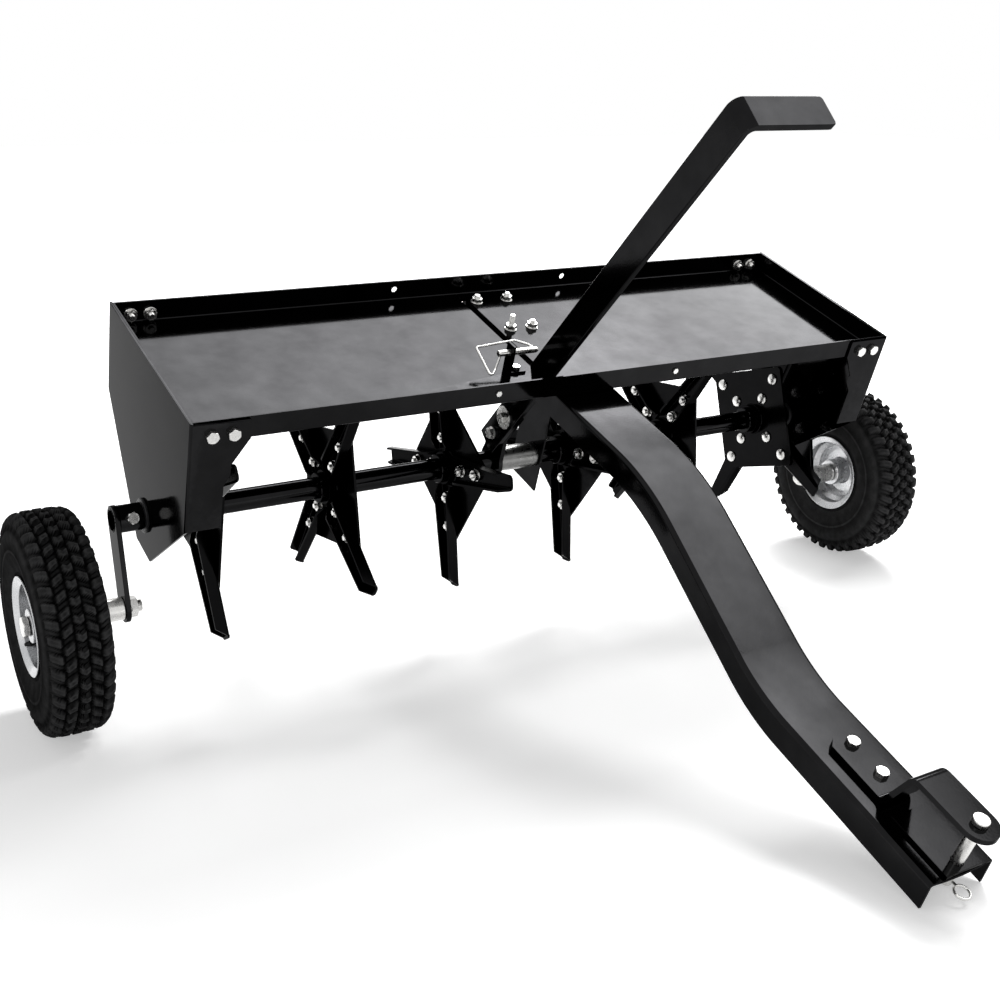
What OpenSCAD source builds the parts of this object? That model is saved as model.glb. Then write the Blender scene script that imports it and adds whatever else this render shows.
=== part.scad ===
// Tow behind plug aerator: a weight tray over six stars of plug spoons, with a
// lift lever, two wheels on swinging arms and a long stepped drawbar.
// Every module works in the level frame: origin at the middle of the tray's rim,
// +X to the right, +Y to the rear, +Z up, millimetres. placed() then stands the
// whole part on its two wheels and on the tip of its drawbar.

/* [Tray] */
// Width of the tray over its two end panels
tray_w = 1016; // [960:4:1080]
// Depth of the tray over the flanges of the end panels
tray_d = 285; // [276:1:300]
// Height of the tray's walls
tray_h = 28; // [24:1:34]
// Thickness of the tray's sheet
tray_t = 2; // [1.5:0.5:3]
// Radius of the spare holes in the rear wall
spare_hole_r = 4; // [3:0.5:5]
// Distance of the inner spare holes from the middle
spare_inner_x = 133; // [110:1:160]
// Distance of the outer spare holes from the middle
spare_outer_x = 299; // [260:1:330]

/* [End panels] */
// Thickness of the end panels
panel_t = 3; // [2:0.5:4]
// Width of a flange at the height of the tray
flange_w = 68; // [60:1:76]
// Width of a flange below the tray
flange_low_w = 41; // [36:1:46]
// Drop of the front edge of an end panel
panel_front_drop = 138; // [125:1:150]
// Drop of the rear edge of an end panel
panel_rear_drop = 112; // [100:1:125]
// Drop of the foot of an end panel below the tube's axis
panel_foot_drop = 51; // [44:1:58]
// Length of the flat foot of an end panel
panel_foot_l = 50; // [40:1:60]

/* [Transport tube] */
// Place of the tube's axis, front to rear
tube_y = -8; // [-12:1:-4]
// Height of the tube's axis
tube_z = -205; // [-212:1:-200]
// Outer radius of the tube
tube_r = 14; // [12:0.5:16]
// Wall of the tube
tube_wall = 3; // [2:0.5:4]
// Radius of a bushing's flange
bushing_flange_r = 30; // [26:1:34]
// Thickness of a bushing's flange
bushing_flange_t = 4; // [3:0.5:6]
// Radial running clearance of what turns on the tube
running_gap = 0.06; // [0.03:0.01:0.09]

/* [Stars] */
// Distance of the inner stars from the middle
star_inner_x = 94; // [84:1:104]
// Distance between neighbouring stars on one side
star_pitch = 173; // [168:1:178]
// Corner radius of a star's square plate
star_corner_r = 105; // [98:1:112]
// Thickness of a star's plate
star_plate_t = 3; // [2.5:0.5:4]
// Radius of the circle that the spoon tips run on
star_tip_r = 164; // [156:1:168]
// Turn of each star from left to right, in degrees
star_turns = [42.5, 20, 64.7, 67.2, 22.9, 11.5];
// Outer radius of a star's hub
hub_r = 22; // [20:0.5:26]
// Length of a star's hub
hub_l = 24; // [20:1:30]
// Width of a spoon at its root
spoon_root_w = 36; // [32:1:40]
// Width of a spoon at its rim
spoon_rim_w = 22; // [20:1:26]
// Height of a spoon's walls
spoon_h = 16; // [13:0.5:18]
// Thickness of a spoon's sheet
spoon_t = 3; // [2.5:0.5:3.5]
// Radius of the inner spoon bolt
spoon_bolt_in = 41; // [38:1:46]
// Radius of the outer spoon bolt
spoon_bolt_out = 80; // [74:1:84]

/* [Lever] */
// Place of the lever's middle plane across the tray
lever_x = -35; // [-38:1:-32]
// Width of the lever's flat bar
lever_w = 38; // [34:1:42]
// Thickness of the lever's flat bar
lever_t = 8; // [6:0.5:10]
// Length of the lever from the tube's axis to its grip
lever_l = 667; // [600:1:720]
// Forward lean of the lever in its transport position, in degrees
lever_lean = 28.8; // [26:0.2:31]
// Length of the grip over the lever's outer face
grip_l = 116; // [100:1:130]
// Swing of the lever from transport to work, in degrees
lever_swing = 54; // [40:1:54]

/* [Wheels] */
// Outer radius of the tyres
wheel_r = 131.5; // [125:0.5:136]
// Width of the tyres
tyre_w = 76.6; // [70:0.2:80]
// Distance of a wheel's middle plane from the middle
wheel_x = 625; // [618:1:640]
// Length of a wheel arm from the tube to the wheel bolt
arm_l = 105.7; // [98:0.1:112]
// Forward swing of the wheel arms from straight down, in degrees
arm_lean = 27.7; // [24:0.1:30]
// Width of a wheel arm
arm_w = 35; // [33:1:40]
// Thickness of a wheel arm
arm_t = 6; // [5:0.5:8]
// Radius of the wheel bolts
axle_r = 8; // [7:0.5:9]
// Radius of the rims' bead seats
rim_r = 50.8; // [48:0.2:53]

/* [Drawbar] */
// Width of the drawbar
bar_w = 86.8; // [80:0.2:92]
// Depth of the drawbar's flanges
bar_h = 32.5; // [28:0.5:36]
// Thickness of the drawbar's sheet
bar_t = 3; // [2.5:0.5:4]
// Place of the drawbar's front end
bar_front_y = -836; // [-880:2:-800]
// Place of the drawbar's rear end
bar_rear_y = 138; // [136:0.5:139]
// Place of the first bend
bend_a_y = -324; // [-334:1:-314]
// Place of the second bend
bend_b_y = -575; // [-590:0.5:-565]
// Slope of the middle stretch, in degrees
bar_slope = 23; // [21:0.2:25]
// Slope of the front stretch, in degrees
bar_nose = 2.5; // [1:0.1:4]

/* [Hitch] */
// Width of the strap's foot
strap_w = 42; // [40:1:50]
// Width of the strap's raised ear
ear_w = 41; // [38:1:44]
// Thickness of the strap
strap_t = 6; // [5:0.5:8]
// Free height between the drawbar and the ear
hitch_gap = 51; // [44:1:56]
// Radius of the hitch pin
hitch_pin_r = 6.3; // [5.5:0.1:7]
// Place of the hitch pin behind the drawbar's front end
hitch_pin_y = 12; // [11:0.5:14]

/* [Hidden] */
$fn = 64;

// Clearances
face_gap = 0.3;
seat_gap = 0.05;
hole_gap = 0.3;

// Tray
half_w = tray_w / 2;
half_d = tray_d / 2;
floor_top = tray_t - tray_h;
floor_low = -tray_h;
inner_half_w = half_w - panel_t;
inner_half_d = half_d - panel_t;
slot_gap = 1.2;
slot_end_gap = 6;
corner_bolt_in = [24, 48];
corner_bolt_z = -17;
rail_bolt_x = 132;
rail_bolt_z = -12;

// Lever, in the lift frame: origin on the tube's axis, +Z up the lever
lever_off = lever_w / 2;
lever_foot_z = tube_r + 6;
bend_r = lever_t + 6;
lever_bolt_z = [45, 85];
bracket_t = 6;

// Rest: y and z of a level point turned by the pitch of the standing part
axle_y = tube_y - arm_l * sin(arm_lean);
axle_z = tube_z - arm_l * cos(arm_lean);
bar_top_z = floor_low;
bend_a = [bend_a_y, bar_top_z];
bend_b = [bend_b_y, bar_top_z - (bend_a_y - bend_b_y) * tan(bar_slope)];
bar_front = [bar_front_y, bend_b[1] - (bend_b_y - bar_front_y) * tan(bar_nose)];
tip_reach = [axle_y - bar_front[0], axle_z - bar_front[1] + bar_h];
pitch = asin(wheel_r / norm(tip_reach)) - atan2(tip_reach[1], tip_reach[0]);
function row_y(y, z) = y * cos(pitch) - z * sin(pitch);
function row_z(y, z) = y * sin(pitch) + z * cos(pitch);

// Spoon tips
spoon_corner = 5;
spoon_rim = star_tip_r - spoon_corner;
spoon_rim_side = spoon_rim_w / 2 - spoon_corner;
tip_angles = [for (turn = star_turns) for (k = [0:3]) turn + 90 * k + pitch];
rear_reach = max([for (a = tip_angles) spoon_rim * cos(a) + spoon_rim_side * abs(sin(a))])
    + spoon_corner;

// Ends of the standing part, front and rear
ear_top = hitch_gap + strap_t;
nose_turn = bar_nose + pitch;
rear_end = row_y(tube_y, tube_z) + rear_reach;
front_end = row_y(bar_front[0], bar_front[1])
    + (hitch_pin_y - ear_w / 2) * cos(nose_turn) - ear_top * sin(nose_turn);
stand = [0, -(rear_end + front_end) / 2, wheel_r - row_z(axle_y, axle_z)];

// Tube and what sits on it
tube_bore = tube_r + seat_gap;
tube_run = tube_r + running_gap;
bushing_r = tube_r + 4;
clamp_in = half_w + bushing_flange_t + face_gap;
arm_in = clamp_in + 28.5;
tube_half_l = arm_in + arm_t;
clamp_r = tube_r + 2.5;
collar_r = tube_r + 5;
collar_l = 9;
star_xs = [
    for (k = [2:-1:0]) -star_inner_x - k * star_pitch,
    for (k = [0:2]) star_inner_x + k * star_pitch
];
// Side of the plate that each star's spoons and nuts stand on
star_sides = [-1, -1, -1, -1, -1, 1];

// Centre support
support_t = bar_t;
support_x = bar_w / 2 - bar_t - support_t;
support_front = tube_y - tube_r - 7;
support_rear = tube_y + 44;
support_low = tube_z - 49;

// Wheels
axle_head_h = 7;
hub_half_l = tyre_w / 2 - 1 - axle_head_h - face_gap;
hub_bore = axle_r + 3;
axle_out = wheel_x + tyre_w / 2 - 1;

// Lock pin
lock_y = -72;
lock_z = 1;
lock_r = 4;
lock_tab_x = -78;
lock_tab_t = 3;
lock_tab_w = 17;
lock_tab_top = 12;
lock_in = lever_x - lever_t / 2 - face_gap;
lock_out = lock_in - 57;
bail_r = 1.5;

// Fasteners: radius across corners and height
m8_hex_r = 7.5;
m8_nut_h = 6.5;
m8_r = 4;
m8_hole_r = m8_r + hole_gap;
m6_hex_r = 5.8;
m6_nut_h = 5;
m6_r = 3;
m6_hole_r = m6_r + hole_gap;
m4_hex_r = 4;
m4_nut_h = 3;
m4_r = 2;
m4_hole_r = m4_r + hole_gap;

// Stands the level model on its wheels and the tip of its drawbar
module placed() {
    translate(stand) rotate([pitch, 0, 0]) children();
}

// Frame on the tube's axis with +Z up the lever in its transport position
module on_lift() {
    translate([0, tube_y, tube_z]) rotate([lever_lean, 0, 0]) children();
}

// Frame on the tube's axis with -Z down the wheel arms
module on_arms() {
    translate([0, tube_y, tube_z]) rotate([-arm_lean, 0, 0]) children();
}

// Frame at the front end of the drawbar, +Z off its web
module on_nose() {
    translate([0, bar_front[0], bar_front[1] + seat_gap]) rotate([bar_nose, 0, 0]) children();
}

// Cylinder along X from x = 0
module rod(r, l, fn = 64) {
    rotate([0, 90, 0]) cylinder(r = r, h = l, $fn = fn);
}

// Ring along X from x = 0
module ring(r, bore, l) {
    rotate([0, 90, 0]) difference() {
        cylinder(r = r, h = l);
        translate([0, 0, -1]) cylinder(r = bore, h = l + 2);
    }
}

// Bolt along +Z: the head's underside at z = 0, nut at z = grip
module bolt(grip, r, hex_r, nut_h, tail = 3, round_head = false) {
    head_h = nut_h * 0.8;
    if (round_head) {
        translate([0, 0, -head_h / 2]) cylinder(r = hex_r + 1, h = head_h / 2);
        translate([0, 0, -head_h]) cylinder(r = hex_r - 1, h = head_h / 2);
    } else {
        translate([0, 0, -head_h]) cylinder(r = hex_r, h = head_h, $fn = 6);
    }
    translate([0, 0, -head_h / 2]) cylinder(r = r, h = head_h / 2 + grip + nut_h + tail, $fn = 32);
    translate([0, 0, grip]) cylinder(r = hex_r, h = nut_h, $fn = 6);
}

// Points of a fillet of radius r at corner p between points a and b
function fillet(a, p, b, r, n = 8) =
    let (u = (a - p) / norm(a - p), v = (b - p) / norm(b - p))
    let (half = acos(u * v) / 2, reach = r / tan(half))
    let (centre = p + (u + v) / norm(u + v) * r / sin(half))
    let (from = p + u * reach - centre, to = p + v * reach - centre)
    let (start = atan2(from[1], from[0]), turn = atan2(to[1], to[0]) - start)
    let (sweep = turn > 180 ? turn - 360 : (turn < -180 ? turn + 360 : turn))
    [for (i = [0:n]) centre + r * [cos(start + sweep * i / n), sin(start + sweep * i / n)]];

// Plate in the YZ plane from x = 0 with thickness t, drawn as (y, z)
module side_plate(t) {
    rotate([90, 0, 90]) linear_extrude(t) children();
}

// Plate in the XZ plane from y = 0 with thickness t towards +Y, drawn as (x, z)
module front_plate(t) {
    translate([0, t, 0]) rotate([90, 0, 0]) linear_extrude(t) children();
}

/* Tray and end panels */

// Place of the lever's edge at a height in the level frame
function lever_edge_y(z, lean, off) =
    tube_y + off * cos(lean) - (z - tube_z - off * sin(lean)) * tan(lean);
slot_front = lever_edge_y(floor_top, lever_lean, lever_off - lever_w / 2) - slot_end_gap;
slot_rear = lever_edge_y(floor_top, lever_lean - lever_swing, lever_off + lever_w / 2)
    + slot_end_gap;

bar_bolts = [[23.5, 110], [16.5, 30]];
bar_bolt_shift = 3.5;

module bar_bolt_places() {
    for (pair = bar_bolts) for (side = [-1, 1])
        translate([bar_bolt_shift + side * pair[0], pair[1], 0]) children();
}

module tray() color("dimgray") placed() difference() {
    translate([-inner_half_w, -inner_half_d, floor_low])
        cube([2 * inner_half_w, 2 * inner_half_d, tray_h]);
    translate([-inner_half_w + tray_t, -inner_half_d + tray_t, floor_top])
        cube([2 * (inner_half_w - tray_t), 2 * (inner_half_d - tray_t), tray_h]);
    // Slot for the lever
    translate([lever_x - lever_t / 2 - slot_gap, slot_front, floor_low - 1])
        cube([lever_t + 2 * slot_gap, slot_rear - slot_front, tray_t + 2]);
    // Drawbar bolts
    bar_bolt_places() translate([0, 0, floor_low - 1]) cylinder(r = m8_hole_r, h = tray_t + 2);
    // Corner bolts, front and rear
    corner_bolt_places() translate([0, 0, panel_t - 1]) cylinder(r = m8_hole_r, h = tray_t + 2);
    // Spare holes in the rear wall
    for (x = [-spare_outer_x, -spare_inner_x, spare_inner_x, spare_outer_x])
        translate([x, inner_half_d - tray_t - 1, rail_bolt_z]) rotate([-90, 0, 0])
            cylinder(r = spare_hole_r, h = tray_t + 2);
    // Small bolts in the front wall
    for (x = [-rail_bolt_x, rail_bolt_x])
        translate([x, -inner_half_d - 1, rail_bolt_z]) rotate([-90, 0, 0])
            cylinder(r = m4_hole_r, h = tray_t + 2);
    // Foot bolt of the lock tab
    lock_foot_place() translate([0, 0, -tray_t - 1]) cylinder(r = m6_hole_r, h = tray_t + 2);
}

// Each corner bolt: origin on the flange's outer face, +Z into the tray
module corner_bolt_places() {
    for (side = [-1, 1]) for (inset = corner_bolt_in) for (end = [-1, 1])
        translate([side * (half_w - inset), end * half_d, corner_bolt_z])
            rotate([end * 90, 0, 0]) children();
}

module panel_outline() {
    polygon([
        [half_d, 0], [half_d, -panel_rear_drop],
        [tube_y + panel_foot_l / 2, tube_z - panel_foot_drop],
        [tube_y - panel_foot_l / 2, tube_z - panel_foot_drop],
        [-half_d, -panel_front_drop], [-half_d, 0]
    ]);
}

// Flange outline as seen from outside the panel: x inward from the panel, z down
module flange_outline(drop) {
    step = flange_w - flange_low_w;
    polygon([
        [0, -2], [flange_w - 2, -2], [flange_w, -4], [flange_w, -26], [flange_w - 20, -57],
        [flange_w - 20, -70], [flange_low_w, -70 - step / 2], [flange_low_w, -drop], [0, -drop]
    ]);
}

module end_panel(side) {
    mirror([side > 0 ? 1 : 0, 0, 0]) difference() {
        union() {
            translate([-half_w, 0, 0]) side_plate(panel_t) panel_outline();
            translate([-half_w, -half_d, 0]) front_plate(panel_t)
                flange_outline(panel_front_drop);
            translate([-half_w, half_d - panel_t, 0]) front_plate(panel_t)
                flange_outline(panel_rear_drop);
        }
        translate([-half_w - 1, tube_y, tube_z]) rod(bushing_r + seat_gap, panel_t + 2);
        corner_bolt_places() translate([0, 0, -1]) cylinder(r = m8_hole_r, h = panel_t + 2);
    }
}

module left_end_panel() color("dimgray") placed() end_panel(-1);
module right_end_panel() color("dimgray") placed() end_panel(1);

module bushing(side) {
    mirror([side > 0 ? 1 : 0, 0, 0]) translate([-half_w, tube_y, tube_z]) difference() {
        union() {
            translate([-bushing_flange_t, 0, 0]) rod(bushing_flange_r, bushing_flange_t);
            translate([-1, 0, 0]) rod(bushing_r, panel_t + 4);
        }
        translate([-bushing_flange_t - 1, 0, 0]) rod(tube_run, bushing_flange_t + panel_t + 6);
    }
}

module left_bushing() color("black") placed() bushing(-1);
module right_bushing() color("black") placed() bushing(1);

module corner_bolts() color("silver") placed()
    corner_bolt_places() bolt(panel_t + tray_t, m8_r, m8_hex_r, m8_nut_h);

module rail_bolts() color("silver") placed()
    for (x = [-rail_bolt_x, rail_bolt_x])
        translate([x, -inner_half_d, rail_bolt_z]) rotate([-90, 0, 0])
            bolt(tray_t, m4_r, m4_hex_r, m4_nut_h);

/* Drawbar */

bar_bend_a_r = 308;
bar_bend_b_r = 250;

// Side line of the drawbar, lowered by d, from rear to front
function bar_line(d) = concat(
    [[bar_rear_y, bar_top_z - d]],
    [for (p = fillet([bar_rear_y, bar_top_z], bend_a, bend_b, bar_bend_a_r)) p - [0, d]],
    [for (p = fillet(bend_a, bend_b, bar_front, bar_bend_b_r)) p - [0, d]],
    [bar_front - [0, d]]
);
function backward(list) = [for (i = [len(list) - 1:-1:0]) list[i]];

module drawbar() color("dimgray") placed() difference() {
    translate([-bar_w / 2, 0, 0]) side_plate(bar_w)
        polygon(concat(bar_line(0), backward(bar_line(bar_h))));
    translate([-bar_w / 2 + bar_t, 0, 0]) side_plate(bar_w - 2 * bar_t)
        polygon(concat(
            [[bar_rear_y + 1, bar_top_z - bar_t]], bar_line(bar_t),
            [bar_front - [1, bar_t], bar_front - [1, bar_h + 1]],
            backward(bar_line(bar_h + 1)), [[bar_rear_y + 1, bar_top_z - bar_h - 1]]
        ));
    bar_bolt_places() translate([0, 0, bar_top_z - bar_t - 1])
        cylinder(r = m8_hole_r, h = bar_t + 2);
    // The lever runs beside the left flange, through a slot in the web
    translate([bar_t - bar_w / 2, slot_front, bar_top_z - bar_t - 1])
        cube([lever_x + lever_t / 2 + slot_gap + bar_w / 2 - bar_t, slot_rear - slot_front, bar_t + 2]);
    on_nose() {
        translate([0, hitch_pin_y, -bar_t - 2]) cylinder(r = hitch_hole_r, h = bar_t + 4);
        strap_bolt_places() translate([0, 0, -bar_t - 2]) cylinder(r = m8_hole_r, h = bar_t + 4);
    }
    support_bolt_places() rod(m6_hole_r, bar_t + 2);
}

module drawbar_bolts() color("silver") placed() {
    for (i = [0:1]) for (side = [-1, 1])
        translate([bar_bolt_shift + side * bar_bolts[i][0], bar_bolts[i][1], bar_top_z - bar_t])
            bolt(bar_t + tray_t, m8_r, m8_hex_r, m8_nut_h, i == 1 && side < 0 ? 14 : 4, true);
}

/* Centre support of the tube */

// Bolts through the drawbar's right flange, from inside the support
module support_bolt_places() {
    for (y = [tube_y + 2, tube_y + 30])
        translate([bar_w / 2 - bar_t - 0.5, y, bar_top_z - bar_h * 0.6]) children();
}

module centre_support() color("dimgray") placed() difference() {
    translate([support_x, support_front, support_low])
        cube([support_t, support_rear - support_front, bar_top_z - bar_t - 1 - support_low]);
    translate([support_x - 1, tube_y, tube_z]) rod(tube_run, support_t + 2);
    support_bolt_places() translate([-support_t - 1, 0, 0]) rod(m6_hole_r, support_t + 2);
}

module support_bolts() color("silver") placed()
    support_bolt_places() translate([0.5 + bar_t, 0, 0]) rotate([0, -90, 0])
        bolt(support_t + bar_t, m6_r, m6_hex_r, m6_nut_h);

/* Hitch */

hitch_hole_r = hitch_pin_r + hole_gap;
strap_bolt_ys = [121.5, 164.5];
strap_bolt_x = 3;
strap_rear = 177;
strap_bend_low = 97;
strap_bend_high = 79;

module strap_bolt_places() {
    for (y = strap_bolt_ys) translate([strap_bolt_x, y, 0]) children();
}

// Side view of the strap, as (y, z) over the web: foot, riser and ear
module strap_side() {
    run = (strap_bend_low - strap_bend_high) / hitch_gap;
    back = strap_t * sqrt(1 + run * run);
    low_rear = [strap_bend_low, strap_t];
    high_rear = [strap_bend_high, ear_top];
    low_front = [strap_bend_low + strap_t * run - back, 0];
    high_front = [strap_bend_low - (hitch_gap - strap_t) * run - back, hitch_gap];
    polygon(concat(
        [[strap_rear, 0], [strap_rear, strap_t]],
        fillet([strap_rear, strap_t], low_rear, high_rear, strap_t),
        fillet(low_rear, high_rear, [-ear_w, ear_top], 2 * strap_t),
        [[-ear_w, ear_top], [-ear_w, hitch_gap]],
        fillet([-ear_w, hitch_gap], high_front, low_front, strap_t),
        fillet(high_front, low_front, [strap_rear, 0], 2 * strap_t)
    ));
}

// Outline of the strap from above, as (x, y)
module strap_plan() {
    cut = 8;
    foot = strap_w / 2;
    ear = ear_w / 2;
    polygon([
        [-foot, strap_bend_low], [-foot, strap_rear - cut], [-foot + cut, strap_rear],
        [foot - cut, strap_rear], [foot, strap_rear - cut], [foot, strap_bend_low],
        [ear, strap_bend_high],
        for (a = [0:-7.5:-180]) [ear * cos(a), hitch_pin_y + ear * sin(a)],
        [-ear, strap_bend_high]
    ]);
}

module hitch_strap() color("dimgray") placed() on_nose() difference() {
    intersection() {
        translate([-strap_w, 0, 0]) side_plate(2 * strap_w) strap_side();
        translate([0, 0, -1]) linear_extrude(ear_top + 2) strap_plan();
    }
    strap_bolt_places() translate([0, 0, -1]) cylinder(r = m8_hole_r, h = strap_t + 2);
    translate([0, hitch_pin_y, hitch_gap - 1]) cylinder(r = hitch_hole_r, h = strap_t + 2);
}

wear_plate_t = 4;
wear_plate_l = strap_bend_high - 3;

module hitch_wear_plate() color("dimgray") placed() on_nose() difference() {
    translate([-ear_w / 2 - 4, 1, 0]) cube([ear_w + 8, wear_plate_l, wear_plate_t]);
    translate([0, hitch_pin_y, -1]) cylinder(r = hitch_hole_r, h = wear_plate_t + 2);
}

module hitch_bolts() color("silver") placed() on_nose()
    strap_bolt_places() translate([0, 0, strap_t]) rotate([180, 0, 0])
        bolt(strap_t + bar_t + 0.1, m8_r, m8_hex_r, m8_nut_h);

clip_drop = 16;
clip_wire_r = 1.5;
clip_hole_r = clip_wire_r + 0.1;
pin_low = -bar_t - clip_drop - 8;
pin_head_r = 8.5;
pin_head_h = 6;

module hitch_pin() color("silver") placed() on_nose() translate([0, hitch_pin_y, 0])
    difference() {
        union() {
            translate([0, 0, pin_low]) cylinder(r = hitch_pin_r, h = ear_top - pin_low + 1);
            translate([0, 0, ear_top + 0.2]) cylinder(r = pin_head_r, h = pin_head_h);
        }
        translate([0, 20, -bar_t - clip_drop]) rotate([90, 0, 0])
            cylinder(r = clip_hole_r, h = 40, $fn = 32);
    }

// Clip through the pin's cross hole: a straight leg and a round bow
module hitch_clip() color("silver") placed() on_nose()
    translate([0, hitch_pin_y, -bar_t - clip_drop]) {
        bow_r = 8;
        translate([0, 14, 0]) rotate([90, 0, 0])
            cylinder(r = clip_wire_r, h = 14 + hitch_pin_r + 6, $fn = 24);
        translate([0, -hitch_pin_r - 5 - bow_r, 0])
            rotate_extrude($fn = 48) translate([bow_r, 0]) circle(r = clip_wire_r, $fn = 24);
    }

/* Lock */

module lock_foot_place() {
    translate([lock_tab_x + 12, lock_y, floor_top]) children();
}

module lock_tab() color("dimgray") placed() difference() {
    union() {
        translate([lock_tab_x - lock_tab_t / 2, lock_y - lock_tab_w / 2, floor_top])
            cube([lock_tab_t, lock_tab_w, lock_tab_top - floor_top]);
        translate([lock_tab_x, lock_y - lock_tab_w / 2, floor_top])
            cube([22, lock_tab_w, lock_tab_t]);
    }
    translate([lock_tab_x - 3, lock_y, lock_z]) rod(lock_r + hole_gap, 6);
    lock_foot_place() translate([0, 0, -1]) cylinder(r = m6_hole_r, h = lock_tab_t + 2);
}

module lock_tab_bolt() color("silver") placed() lock_foot_place()
    translate([0, 0, lock_tab_t]) rotate([180, 0, 0])
        bolt(lock_tab_t + tray_t, m6_r, m6_hex_r, m6_nut_h, 2);

module lock_pin() color("silver") placed() translate([lock_out, lock_y, lock_z])
    difference() {
        rod(lock_r, lock_in - lock_out);
        translate([bail_in, 0, -lock_r - 1]) cylinder(r = bail_r + 0.1, h = 2 * lock_r + 2, $fn = 32);
    }

bail_in = 4;
bail_top = 18;
bail_run = 46;

module wire(a, b, r) {
    way = b - a;
    translate(a) rotate([0, acos(way[2] / norm(way)), atan2(way[1], way[0])])
        cylinder(r = r, h = norm(way), $fn = 24);
}

// Square wire bail over the tab
module lock_bail() color("silver") placed() translate([lock_out + bail_in, lock_y, lock_z]) {
    low = [0, 0, -lock_r - 3];
    up = [0, 0, bail_top];
    over = [bail_run, 0, bail_top];
    end = [bail_run, 0, lock_r + 2];
    wire(low, up, bail_r);
    wire(up, over, bail_r);
    wire(over, end, bail_r);
    for (p = [up, over]) translate(p) sphere(r = bail_r, $fn = 24);
}

/* Lift: tube, collars, lever and arms */

module transport_tube() color("dimgray") placed() translate([-tube_half_l, tube_y, tube_z])
    ring(tube_r, tube_r - tube_wall, 2 * tube_half_l);

module star_collars() color("dimgray") placed()
    for (x = star_xs) for (side = [-1, 1])
        translate([x + side * (hub_l / 2 + face_gap + collar_l / 2) - collar_l / 2, tube_y, tube_z])
            ring(collar_r, tube_bore, collar_l);

sleeve_from = lever_x + lever_t / 2 + bracket_t + 1;

module centre_sleeve() color("silver") placed() translate([sleeve_from, tube_y, tube_z])
    ring(tube_r + 3, tube_bore, support_x - face_gap - sleeve_from);

// Side view of lever and grip, as (x, z) with x = 0 on the lever's outer face
module lever_profile() {
    translate([0, lever_foot_z]) square([lever_t, lever_l - bend_r - lever_foot_z]);
    translate([bend_r, lever_l - lever_t]) square([grip_l - bend_r, lever_t]);
    intersection() {
        translate([bend_r, lever_l - bend_r]) difference() {
            circle(r = bend_r);
            circle(r = bend_r - lever_t);
        }
        translate([0, lever_l - bend_r]) square(bend_r);
    }
}

module lever() color("dimgray") placed() on_lift() difference() {
    translate([lever_x - lever_t / 2, lever_off + lever_w / 2, 0])
        rotate([90, 0, 0]) linear_extrude(lever_w) lever_profile();
    for (z = lever_bolt_z) translate([lever_x - lever_t, lever_off, z])
        rod(m8_hole_r, 2 * lever_t);
}

module lever_bracket() color("dimgray") placed() on_lift() difference() {
    top = lever_bolt_z[1] + 20;
    translate([lever_x + lever_t / 2, 0, 0]) side_plate(bracket_t) union() {
        circle(r = tube_r + 10);
        polygon([[-tube_r - 10, 0], [tube_r + 10, 0], [lever_off + 17, lever_foot_z + 20],
            [lever_off + 17, top], [lever_off - 17, top], [lever_off - 17, lever_foot_z + 30]]);
    }
    translate([lever_x, 0, 0]) rod(tube_bore, lever_t + 2 * bracket_t);
    for (z = lever_bolt_z) translate([lever_x, lever_off, z]) rod(m8_hole_r, lever_t + 2 * bracket_t);
}

washer_r = 15.5;
washer_t = 2.5;

module lever_bolts() color("silver") placed() on_lift()
    for (z = lever_bolt_z) translate([lever_x - lever_t / 2 - washer_t, lever_off, z])
        rotate([0, 90, 0]) {
            bolt(washer_t + lever_t + bracket_t, m8_r, m8_hex_r, m8_nut_h);
            cylinder(r = z == lever_bolt_z[1] ? washer_r : m8_hex_r + 1, h = washer_t);
        }

module arm(side) {
    mirror([side > 0 ? 1 : 0, 0, 0]) on_arms() translate([-arm_in - arm_t, 0, 0])
        difference() {
            side_plate(arm_t) {
                circle(r = arm_w / 2 + 4);
                translate([-arm_w / 2, -arm_l]) square([arm_w, arm_l]);
                translate([0, -arm_l]) circle(r = arm_w / 2);
            }
            translate([-1, 0, 0]) rod(tube_bore, arm_t + 2);
            translate([-1, 0, -arm_l]) rod(axle_r + seat_gap, arm_t + 2);
        }
}

module left_arm() color("dimgray") placed() arm(-1);
module right_arm() color("dimgray") placed() arm(1);

clamp_l = arm_in - clamp_in;

module clamp_bolt_place(side) {
    translate([side * (clamp_in + clamp_l / 2), tube_y - clamp_r, tube_z])
        rotate([-90, 0, 0]) children();
}

module clamp(side) {
    difference() {
        translate([side > 0 ? clamp_in : -arm_in, tube_y, tube_z]) ring(clamp_r, tube_bore, clamp_l);
        clamp_bolt_place(side) translate([0, 0, -1]) cylinder(r = m8_hole_r, h = 5);
    }
}

module left_clamp() color("dimgray") placed() clamp(-1);
module right_clamp() color("dimgray") placed() clamp(1);

// Set bolts whose ends stop short of the tube
module clamp_bolts() color("silver") placed() for (side = [-1, 1])
    clamp_bolt_place(side) {
        translate([0, 0, -m8_nut_h]) cylinder(r = m8_hex_r, h = m8_nut_h, $fn = 6);
        translate([0, 0, -1]) cylinder(r = m8_r, h = 3.2, $fn = 32);
    }

module wheel_bolt(side) {
    mirror([side > 0 ? 1 : 0, 0, 0]) translate([0, axle_y, axle_z]) {
        nut_h = 10;
        tail = 6;
        head_h = axle_head_h;
        out = -axle_out;
        union() {
            translate([out, 0, 0]) rod(13, head_h, 6);
            translate([out + head_h / 2, 0, 0])
                rod(axle_r, axle_out - head_h / 2 - arm_in + nut_h + tail);
            translate([-arm_in, 0, 0]) rod(13, nut_h, 6);
        }
        // Spacer between the arm and the hub
        translate([-wheel_x + hub_half_l + face_gap, 0, 0])
            ring(14, axle_r + seat_gap, wheel_x - hub_half_l - face_gap - arm_in - arm_t);
    }
}

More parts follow.
